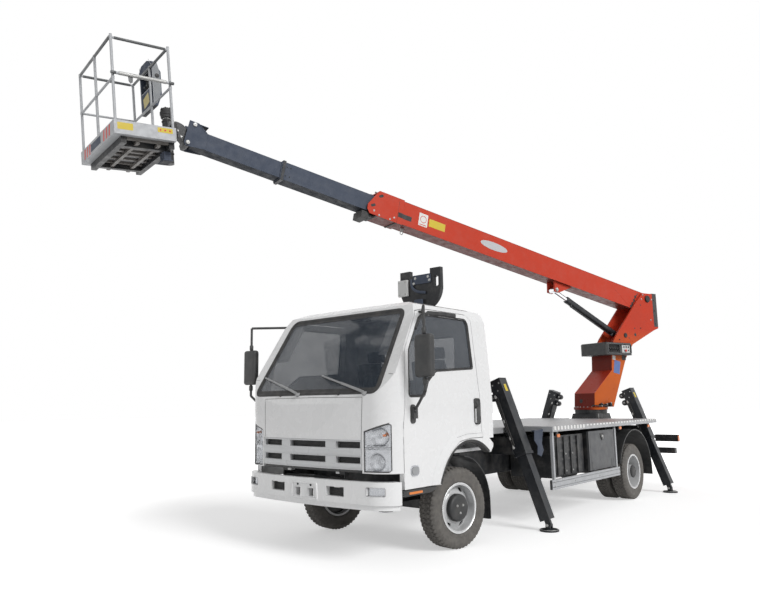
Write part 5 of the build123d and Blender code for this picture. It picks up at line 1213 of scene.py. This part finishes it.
# Black discs and a thin slab in the turret's openings: painted shade for their dark insides.
for x, z, radius in ((-1.045, 2.50, 0.028), (-1.04, 2.611, 0.012), (-0.875, 2.436, 0.012),
                     (-1.24, 3.03, 0.012)):
    for side in (1, -1):
        turned((x, side * 0.1735, z), (x, side * 0.1755, z), ((0, radius), (1, radius)), 24)
box(-0.70, -0.60, 0.2095, 0.2115, 2.05, 2.125)
piece("turret_openings_painted_shade", "rubber", "turret")
for side in (1, -1):
    x, z = LUFF_PIN
    turned((x, side * 0.17, z), (x, side * 0.2, z), ((0, 0.06), (0.3, 0.062), (0.8, 0.06), (1, 0.052)), 32)
    bolts([(x + 0.043 * cos(a), side * 0.2, z + 0.043 * sin(a)) for a in angles(4, 45)], (0, side, 0),
          0.007, 0.006)
    turned((-0.78, side * 0.17, 2.48), (-0.78, side * 0.19, 2.48), ((0, 0.04), (0.6, 0.042), (1, 0.034)), 24)
    spots = ((-1.62, 2.72), (-1.62, 2.95), (-1.62, 3.14), (-1.2, 2.62), (-0.62, 2.40))
    bolts([(x, side * 0.174, z) for x, z in spots], (0, side, 0), 0.01, 0.008)
piece("turret_pins", "black_steel", "turret", bevel=0.001)
box(-1.697, -1.58, -0.1746, 0.1746, 2.66, 3.262)
piece("turret_rear_cover", "black_plastic", "turret", bevel=0.004)
bolts([(-1.6955, y, z) for y in (-0.08, 0.08) for z in (2.7, 2.96, 3.22)], (-1, 0, 0), 0.009, 0.004)
bolts([(-1.56, 0.174, 3.15), (-1.5, 0.174, 2.78), (-1.33, 0.174, 3.22), (-1.28, 0.174, 3.14)], (0, 1, 0),
      0.011, 0.008)
piece("turret_bolts", "steel", "turret")
for x0, z0, x1, z1, y, radius in ((0.13, 1.5, -0.33, 1.88, 0.2085, 0.003),
                                  (-0.33, 1.88, -0.35, 2.12, 0.2085, 0.003),
                                  (0.148, 1.284, -0.31, 1.284, 0.209, 0.0035)):
    for side in (1, -1):
        sweep(even([(x0, side * y, z0), (x1, side * y, z1)], 0.1), radius, 6)
piece("turret_welds", "red", "turret")
label("turret_label_blue", "blue_label", "turret", (-0.462, 0.21, 1.93), (0, 1, 0), 0.15, 0.215, radians(-12))
label("turret_label_white", "white_label", "turret", (-0.40, 0.21, 2.085), (0, 1, 0), 0.075, 0.07, radians(-8))
for x, z, tall in ((0.02, 1.30, 0.05), (-0.10, 1.30, 0.045), (-0.2, 1.305, 0.06)):
    plate(0.05, 0.05, 0.008, tall, Matrix.Translation((x, 0.236, z - 0.02)))
for path in ([(0.02, 0.236, 1.32), (0.05, 0.262, 1.335), (0.0, 0.285, 1.30), (-0.09, 0.27, 1.30),
              (-0.1, 0.238, 1.315)],
             [(0.13, 0.15, 1.30), (0.165, 0.20, 1.302), (0.12, 0.27, 1.295), (0.03, 0.262, 1.292)]):
    sweep(smooth_path(path, 6), 0.0115, 8)
piece("turret_valve", "rubber", "turret", bevel=0.002)
for x, y, z in ((0.02, 0.25, 1.327), (-0.1, 0.252, 1.322), (0.045, 0.265, 1.295), (-0.2, 0.25, 1.34)):
    turned((x, y - 0.014, z), (x, y + 0.014, z), ((0, 0.011), (0.15, 0.015), (0.8, 0.015), (1, 0.011)), 6)
piece("turret_fittings", "steel", "turret")

# Control console: lip round its recess, white gauge panel, levers
lip = soft_loop([(-0.715, 2.148), (-0.135, 2.148), (-0.135, 2.312), (-0.715, 2.312)], 0.035, 0.06)
skin([[Vector((p.x, y, p.y)) for p in grown(lip, out)]
      for out, y in ((0.006, 0.312), (0.003, 0.330), (-0.010, 0.330), (-0.013, 0.300))])
piece("console_lip", "grey_plastic", "turret")
box(-0.70, -0.497, 0.2545, 0.312, 2.163, 2.296)
piece("console_panel", "pale_plastic", "turret", bevel=0.005)
for x, z, radius in ((-0.655, 2.262, 0.016), (-0.60, 2.262, 0.016), (-0.545, 2.262, 0.016),
                     (-0.655, 2.205, 0.012), (-0.61, 2.2, 0.007), (-0.545, 2.2, 0.007)):
    turned((x, 0.311, z), (x, 0.318, z), ((0, radius), (0.7, radius), (1, radius * 0.85)), 20)
box(-0.495, -0.152, 0.2548, 0.262, 2.164, 2.295)
for i in range(5):
    x = -0.44 + 0.06 * i
    bar((x, 0.258, 2.20), (x, 0.30, 2.232), 0.006, 10)
    turned((x, 0.294, 2.228), (x, 0.312, 2.241), ((0, 0.007), (0.3, 0.013), (0.8, 0.013), (1, 0.006)), 14)
piece("console_levers", "rubber", "turret")
turned((-0.575, 0.311, 2.2), (-0.575, 0.334, 2.2),
       ((0, 0.012), (0.4, 0.012), (0.5, 0.021), (0.85, 0.021), (1, 0.014)), 24)
piece("console_knob", "red_label", "turret")

# Luff cylinder: gland, ports and the pipe along the barrel
turned((1.285, 0, 0), (1.345, 0, 0),
       ((0, 0.0552), (0.05, 0.0568), (0.75, 0.0568), (0.85, 0.053), (1, 0.045), (1, 0.0375)), 40)
for x in (0.16, 1.22):
    turned((x, 0.02, -0.045), (x, 0.03, -0.085), ((0, 0.022), (0.6, 0.02), (1, 0.014)), 12)
sweep(smooth_path([(0.16, 0.03, -0.08), (0.24, 0.032, -0.085), (0.7, 0.032, -0.085), (1.14, 0.032, -0.085),
                   (1.22, 0.03, -0.08)], 4),
      0.008, 8)
piece("luff_gland", "leg_black", "luff_barrel", bevel=0.001)

# Boom: mouth cheeks, pads, bolts, seam, slot, blank labels, eye below
cheek = [(5.60, 0.108), (5.695, 0.095), (5.836, -0.13), (5.836, -0.2), (5.79, -0.256), (5.60, -0.257)]
for low in (0.1305, -0.1425):
    prism([(-x, z) for x, z in cheek], 0.012, on((0, low, 0), (0, 1, 0)))
piece("boom_cheeks", "red", "boom_outer", bevel=0.001)
for side in (1, -1):
    flat = side * 0.1422
    for x, z in ((5.65, 0.042), (5.755, -0.125)):
        plate(0.075, 0.038, 0.018, 0.002, on((x, flat, z), (0, side, 0), radians(28)))
    plate(0.078, 0.07, 0.004, 0.001, on((5.3015, flat, -0.127), (0, side, 0)))
    plate(0.152, 0.07, 0.004, 0.001, beside(side, 5.180, 0.130, -0.127))
    sweep(even([(5.342, side * 0.1418, 0.105), (5.350, side * 0.1418, -0.255)], 0.1), 0.002, 6)
sweep(even([(5.345, -0.14, 0.1095), (5.345, 0.14, 0.1095)], 0.1), 0.002, 6)
for x in (5.36, 5.685):
    box(x - 0.012, x + 0.012, -0.143, 0.143, -0.268, -0.2585)
box(5.79, 5.90, -0.115, 0.115, -0.335, -0.236)
box(5.70, 5.80, -0.10, 0.10, -0.29, -0.262)
piece("boom_mouth_black", "rubber", "boom_outer", bevel=0.001)
for side in (1, -1):
    bolts([(5.728, side * 0.1425, -0.197), (5.397, side * 0.142, -0.195), (5.64, side * 0.142, -0.236),
           (5.46, side * 0.142, -0.238)],
          (0, side, 0), 0.0105, 0.0034)
bolts([(5.70, y, 0.1) for y in (-0.06, 0.06)], (0, 0, 1), 0.012, 0.016)
piece("boom_mouth_bolts", "steel", "boom_outer")
prism([(-0.03, 0.0), (0.03, 0.0), (0.02, -0.05), (-0.02, -0.05)], 0.012, on((5.16, -0.006, -0.247), (0, 1, 0)))
sweep([Vector((5.16 + 0.022 * cos(a), 0, -0.318 + 0.022 * sin(a))) for a in angles(28)], 0.0055, 8, closed=True)
piece("boom_eye", "steel", "boom_outer")
for side, tag in ((1, "left"), (-1, "right")):
    label(f"boom_label_white_{tag}", "white_label", "boom_outer", (4.905, side * 0.13, -0.07), (0, side, 0),
          0.155, 0.19)
    label(f"boom_label_yellow_{tag}", "yellow_label", "boom_outer", (4.655, side * 0.13, -0.073), (0, side, 0),
          0.29, 0.115)
    prism([(0.27 * cos(a), 0.062 * sin(a)) for a in angles(48)], 0.001, beside(side, 3.56, 0.13, -0.066))
    piece(f"boom_oval_{tag}", "silver_label", "boom_outer")
    ring_line = [Vector((4.905 + 0.05 * cos(a), side * 0.1312, -0.06 + 0.05 * sin(a))) for a in angles(32)]
    sweep(ring_line, 0.005, 6, closed=True, up=(0, 1, 0), tall=0.0012)
    box(4.85, 4.96, side * 0.1310, side * 0.1318, -0.150, -0.138)
    piece(f"boom_label_mark_{tag}", "red_label", "boom_outer")
for side in (1, -1):
    for x0, z0, x1, z1, step, radius in ((0.42, -0.2455, 5.25, -0.2455, 0.5, 0.0025),
                                         (-0.03, 0.0965, 5.25, 0.0965, 0.5, 0.0025),
                                         (0.37, -0.245, 0.80, -0.02, 0.2, 0.0018)):
        sweep(even([(x0, side * 0.1302, z0), (x1, side * 0.1302, z1)], step), radius, 6)
piece("boom_welds", "red", "boom_outer")
for side in (1, -1):
    for x, z in ((0.26, -0.02), (0.29, -0.09), (0.33, -0.16), (0.36, -0.215)):
        plate(0.05, 0.05, 0.01, 0.0016, on((x, side * 0.13, z), (0, side, 0), radians(20)))
    sweep(smooth_path([(0.20, side * 0.1305, 0.06), (0.25, side * 0.1305, -0.02), (0.30, side * 0.1305, -0.12),
                       (0.35, side * 0.1305, -0.23)], 6),
          0.008, 8, up=(0, 1, 0), tall=0.002)
piece("boom_tail_plates", "rubber", "boom_outer")
for side in (1, -1):
    bolts([(2.128, side * 0.0865, -0.372)], (0, side, 0), 0.026, 0.02)
piece("lug_pin_ends", "steel", "boom_outer")

# Sections: end clamps, bolts and guide lines
for side in (1, -1):
    bolts([(x, side * 0.102, z) for x in (7.006, 7.06) for z in (-0.152, -0.032)], (0, side, 0), 0.007, 0.0045)
piece("section_bolts", "black_steel", "boom_mid")
for side in (1, -1):
    box(7.084, 7.124, side * 0.1015, side * 0.112, -0.222, 0.038)
for z0, z1 in ((0.0285, 0.042), (-0.226, -0.2125)):
    box(7.084, 7.124, -0.111, 0.111, z0, z1)
piece("mid_collar", "leg_black", "boom_mid", bevel=0.002)
for side in (1, -1):
    for x, z in ((8.338, -0.185), (8.30, 0.062)):
        turned((x, side * 0.1, z), (x, side * 0.121, z),
               ((0, 0.022), (0.25, 0.026), (0.8, 0.026), (1, 0.02)), 24)
        bolts([(x, side * 0.119, z)], (0, side, 0), 0.012, 0.008)
piece("tip_pins", "steel", "boom_inner", bevel=0.001)
box(8.13, 8.33, -0.089, 0.089, 0.088, 0.099)
for low in (0.103, -0.107):
    prism([(-8.13, 0.012), (-8.16, 0.012), (-8.262, 0.094), (-8.25, 0.094)], 0.004, on((0, low, 0), (0, 1, 0)))
piece("tip_top_plate", "slate", "boom_inner", bevel=0.002)

# Carrier: post cap, motor, hoses held along the arm
turned((0, 0, 0.478), (0, 0, 0.505), ((0, 0.044), (0.5, 0.046), (0.9, 0.04), (1, 0.03)), 28)
piece("post_cap", "steel", "basket")
turned((0, 0, 0.487), (0, 0, 0.612),
       ((0, 0.05), (0.04, 0.066), (0.3, 0.07), (0.34, 0.076), (0.62, 0.076), (0.66, 0.068),
                                            (0.92, 0.066), (1, 0.05)), 32)
bolts([(0.052 * cos(a), 0.052 * sin(a), 0.61) for a in angles(6)], (0, 0, 1), 0.007, 0.006)
piece("post_head", "rubber", "basket", bevel=0.001)
for z in (0.045, 0.44):
    turned((0, 0, z), (0, 0, z + 0.02), soft_ends(0.058, 0.061, 0.2), 32)
turned((-0.055, 0.098, 0.22), (-0.055, 0.098, 0.41),
       ((0, 0.03), (0.06, 0.036), (0.3, 0.036), (0.32, 0.033), (0.9, 0.033), (1, 0.025)), 28)
box(-0.09, -0.02, 0.04, 0.10, 0.27, 0.36)
for lift, shift in ((0.0, -0.03), (0.006, 0.0), (0.0, 0.03)):
    sweep(smooth_path([(-0.02, shift, 0.448), (-0.09, shift, 0.442 + lift), (-0.15, shift, 0.40 + lift),
                       (-0.195, shift, 0.33 + lift)], 6),
          0.011, 8)
piece("carrier_motor", "rubber", "basket_carrier", bevel=0.001)
for x, y, z in ((-0.10, 0.06, 0.33), (-0.14, 0.06, 0.26), (-0.06, 0.06, 0.40)):
    for side in (1, -1):
        turned((x, side * (y - 0.002), z), (x, side * (y + 0.02), z),
               ((0, 0.016), (0.5, 0.017), (0.6, 0.011), (1, 0.01)), 6)
turned((-0.055, 0.098, 0.41), (-0.055, 0.098, 0.425), ((0, 0.018), (0.6, 0.018), (1, 0.01)), 12)
piece("carrier_fittings", "steel", "basket_carrier")

# Basket: blank labels, bands, dark sleeves of painted shade on the top rails, tray ribs
POSTS = (0.172, 0.797)
RAIL_Y, RAIL_Z = 0.555, 1.085
label("basket_label_near", "yellow_label", "basket", (0.705, 0.58, 0.088), (0, 1, 0), 0.165, 0.075)
label("basket_label_dots", "yellow_label", "basket", (0.272, 0.58, 0.105), (0, 1, 0), 0.17, 0.055)
for x in (0.22, 0.272, 0.324):
    turned((x, 0.5805, 0.105), (x, 0.5815, 0.105), ((0, 0.011), (1, 0.011)), 16)
piece("basket_dots", "red_label", "basket")
for y in (-0.43, -0.34, -0.25, 0.25, 0.34, 0.43):
    prism([(y - 0.03, -0.058), (y + 0.012, -0.058), (y + 0.03, 0.058), (y - 0.012, 0.058)], 0.001,
          on((0.822, 0, 0.078), (1, 0, 0)))
piece("basket_bands", "red_label", "basket")
label("basket_label_end", "slate", "basket", (0.822, -0.035, 0.078), (1, 0, 0), 0.34, 0.085)
# Dark grey sleeves over the top rails: painted shade, the dark the rails show from below.
for x in POSTS:
    turned((x, -0.525, RAIL_Z), (x, 0.525, RAIL_Z), soft_ends(0.0135, 0.0155, 0.004), 16)
for y, z in ((-RAIL_Y, RAIL_Z), (RAIL_Y, 1.065)):
    turned((0.205, y, z), (0.765, y, z), soft_ends(0.0135, 0.0155, 0.006), 16)
piece("basket_rail_painted_shade", "grip_grey", "basket")
for x in POSTS:
    for y in (-RAIL_Y, RAIL_Y):
        turned((x, y, 1.062), (x, y, 1.1005),
               ((0, 0.0152), (0.2, 0.0154), (0.7, 0.0154), (0.9, 0.014), (1, 0.009)), 20)
        turned((x, y, 0.601), (x, y, 0.639), soft_ends(0.0155, 0.018, 0.2), 20)
piece("basket_joints", "aluminium", "basket")
for y in (-0.3, -0.15, 0.0, 0.12, 0.24, 0.5):
    box(0.215, 0.675, y - 0.02, y + 0.02, -0.028, 0.001)
for x in (0.32, 0.55):
    box(x - 0.02, x + 0.02, -0.50, 0.50, -0.058, -0.026)
piece("tray_ribs", "grey_brown", "basket", bevel=0.003)
box(0.155, 0.235, 0.30, 0.42, -0.17, -0.07)
box(0.14, 0.25, 0.27, 0.44, -0.182, -0.168)
piece("tray_bracket", "slate", "basket", bevel=0.004)
turned((0.231, 0.5912, 0.66), (0.745, 0.5912, 0.66), soft_ends(0.0155, 0.02, 0.004), 24)
piece("gate_sleeve", "steel", "gate_bar")
for x0, x1 in ((0.142, 0.2), (0.775, 0.827)):
    turned((x0, 0.5885, 0.66), (x1, 0.5885, 0.66), soft_ends(0.0145, 0.0172, 0.1), 16)
prism([(-0.026, 0.0), (0.026, 0.0), (0.02, -0.06), (-0.004, -0.075), (-0.022, -0.05)], 0.006,
      beside(1, 0.62, 0.5825, 0.645))
piece("gate_ends", "grip_grey", "gate_bar")

# Basket control box: pale lines of painted highlight on its edges, recess panel, buttons and joystick
prism([(-0.155, 0.66), (-0.155, 1.07), (-0.10, 1.16), (-0.07, 1.03), (-0.062, 0.80), (-0.12, 0.64)], 0.003,
      beside(1, 0, 0.045, 0))
piece("box_side", "box_grey", "basket", bevel=0.001)
turned((0.105, 0.0475, 0.985), (0.105, 0.0575, 0.985), ((0, 0.026), (0.6, 0.026), (1, 0.02)), 28)
plate(0.335, 0.185, 0.012, 0.003, on((0.0972, -0.1525, 0.9725), (1, 0, 0)))
piece("box_recess_panel", "rubber", "basket", bevel=0.001)
for i in range(4):
    y = -0.27 + 0.075 * i
    bar((0.099, y, 0.935), (0.132, y, 0.95), 0.006, 10)
    turned((0.128, y, 0.948), (0.145, y, 0.957), ((0, 0.008), (0.4, 0.014), (0.8, 0.013), (1, 0.006)), 14)
    turned((0.099, y, 1.02), (0.106, y, 1.02), ((0, 0.012), (0.7, 0.012), (1, 0.009)), 14)
piece("box_levers", "grip_grey", "basket")
turned((0.099, -0.03, 1.0), (0.124, -0.03, 1.0),
       ((0, 0.013), (0.4, 0.013), (0.5, 0.02), (0.9, 0.02), (1, 0.013)), 20)
piece("box_stop_button", "red_label", "basket")
label("box_label", "ochre_label", "basket", (0.1566, -0.19, 0.755), (1, 0, 0), 0.17, 0.13, radians(12))
# Pale lines along the box's edges: painted highlight.
for y in (-0.348, 0.043):
    sweep(even([(0.1568, y, 0.62), (0.1568, y, 1.10), (0.176, y * 0.72 - 0.04, 1.198)], 0.1), 0.0035, 6)
for z in (0.868, 1.077):
    sweep(even([(0.157, -0.325, z), (0.157, 0.02, z)], 0.1), 0.003, 6)
piece("box_edge_painted_highlight", "silver_label", "basket")


# Studio
WORLD_LEVEL = 0.31
FLOOR_RADIUS = 70
FLOOR_GLOW = 0.46
FLOOR_FADE = (4.0, 8.0)
FLOOR_DROP = 0.0005
SUNS = (("key", (0.08, 0.84, 0.54), 26, 1.87), ("front", (0.93, 0.1, 0.35), 40, 0.26))


def make_studio():
    """Pale floor, white surroundings for the camera and soft light from the truck's left and above."""
    bpy.context.scene.view_settings.view_transform = "Standard"
    world = bpy.data.worlds.new("studio")
    bpy.context.scene.world = world
    make = Nodes("studio", world)
    background = make.tree.nodes["Background"].inputs
    make.feed(background["Strength"], make.ramp(make.seen(), WORLD_LEVEL, 1.0))
    background["Color"].default_value = (1, 1, 1, 1)

    disc = bmesh.new()
    bmesh.ops.create_circle(disc, cap_ends=True, segments=96, radius=FLOOR_RADIUS)
    data = bpy.data.meshes.new("floor")
    disc.to_mesh(data)
    disc.free()
    floor = bpy.data.objects.new("floor", data)
    floor.location = (0, 0, -FLOOR_DROP)
    bpy.context.scene.collection.objects.link(floor)
    make = Nodes("floor_white")
    make.set("Base Color", (0.86, 0.86, 0.86, 1))
    make.set("Roughness", 0.9)
    make.set("Specular IOR Level", 0.1)
    distance = make.add("ShaderNodeVectorMath", operation="LENGTH")
    make.feed(distance.inputs[0], make.place)
    far = make.ramp(distance.outputs["Value"], FLOOR_GLOW, 1.0, *FLOOR_FADE)
    light = make.maths("MULTIPLY", far, make.seen())
    glow = make.add("ShaderNodeEmission", Color=(1, 1, 1, 1), Strength=light)
    mixed = make.add("ShaderNodeAddShader")
    make.feed(mixed.inputs[0], make.shader.outputs[0])
    make.feed(mixed.inputs[1], glow.outputs[0])
    out = [node for node in make.tree.nodes if node.type == "OUTPUT_MATERIAL"][0]
    make.feed(out.inputs["Surface"], mixed.outputs[0])
    data.materials.append(make.material)

    for name, towards, spread, power in SUNS:
        light = bpy.data.lights.new(name, "SUN")
        light.angle = radians(spread)
        light.energy = power
        lamp = bpy.data.objects.new(name, light)
        bpy.context.scene.collection.objects.link(lamp)
        lamp.matrix_world = Vector(towards).to_track_quat("Z", "Y").to_matrix().to_4x4()


make_studio()
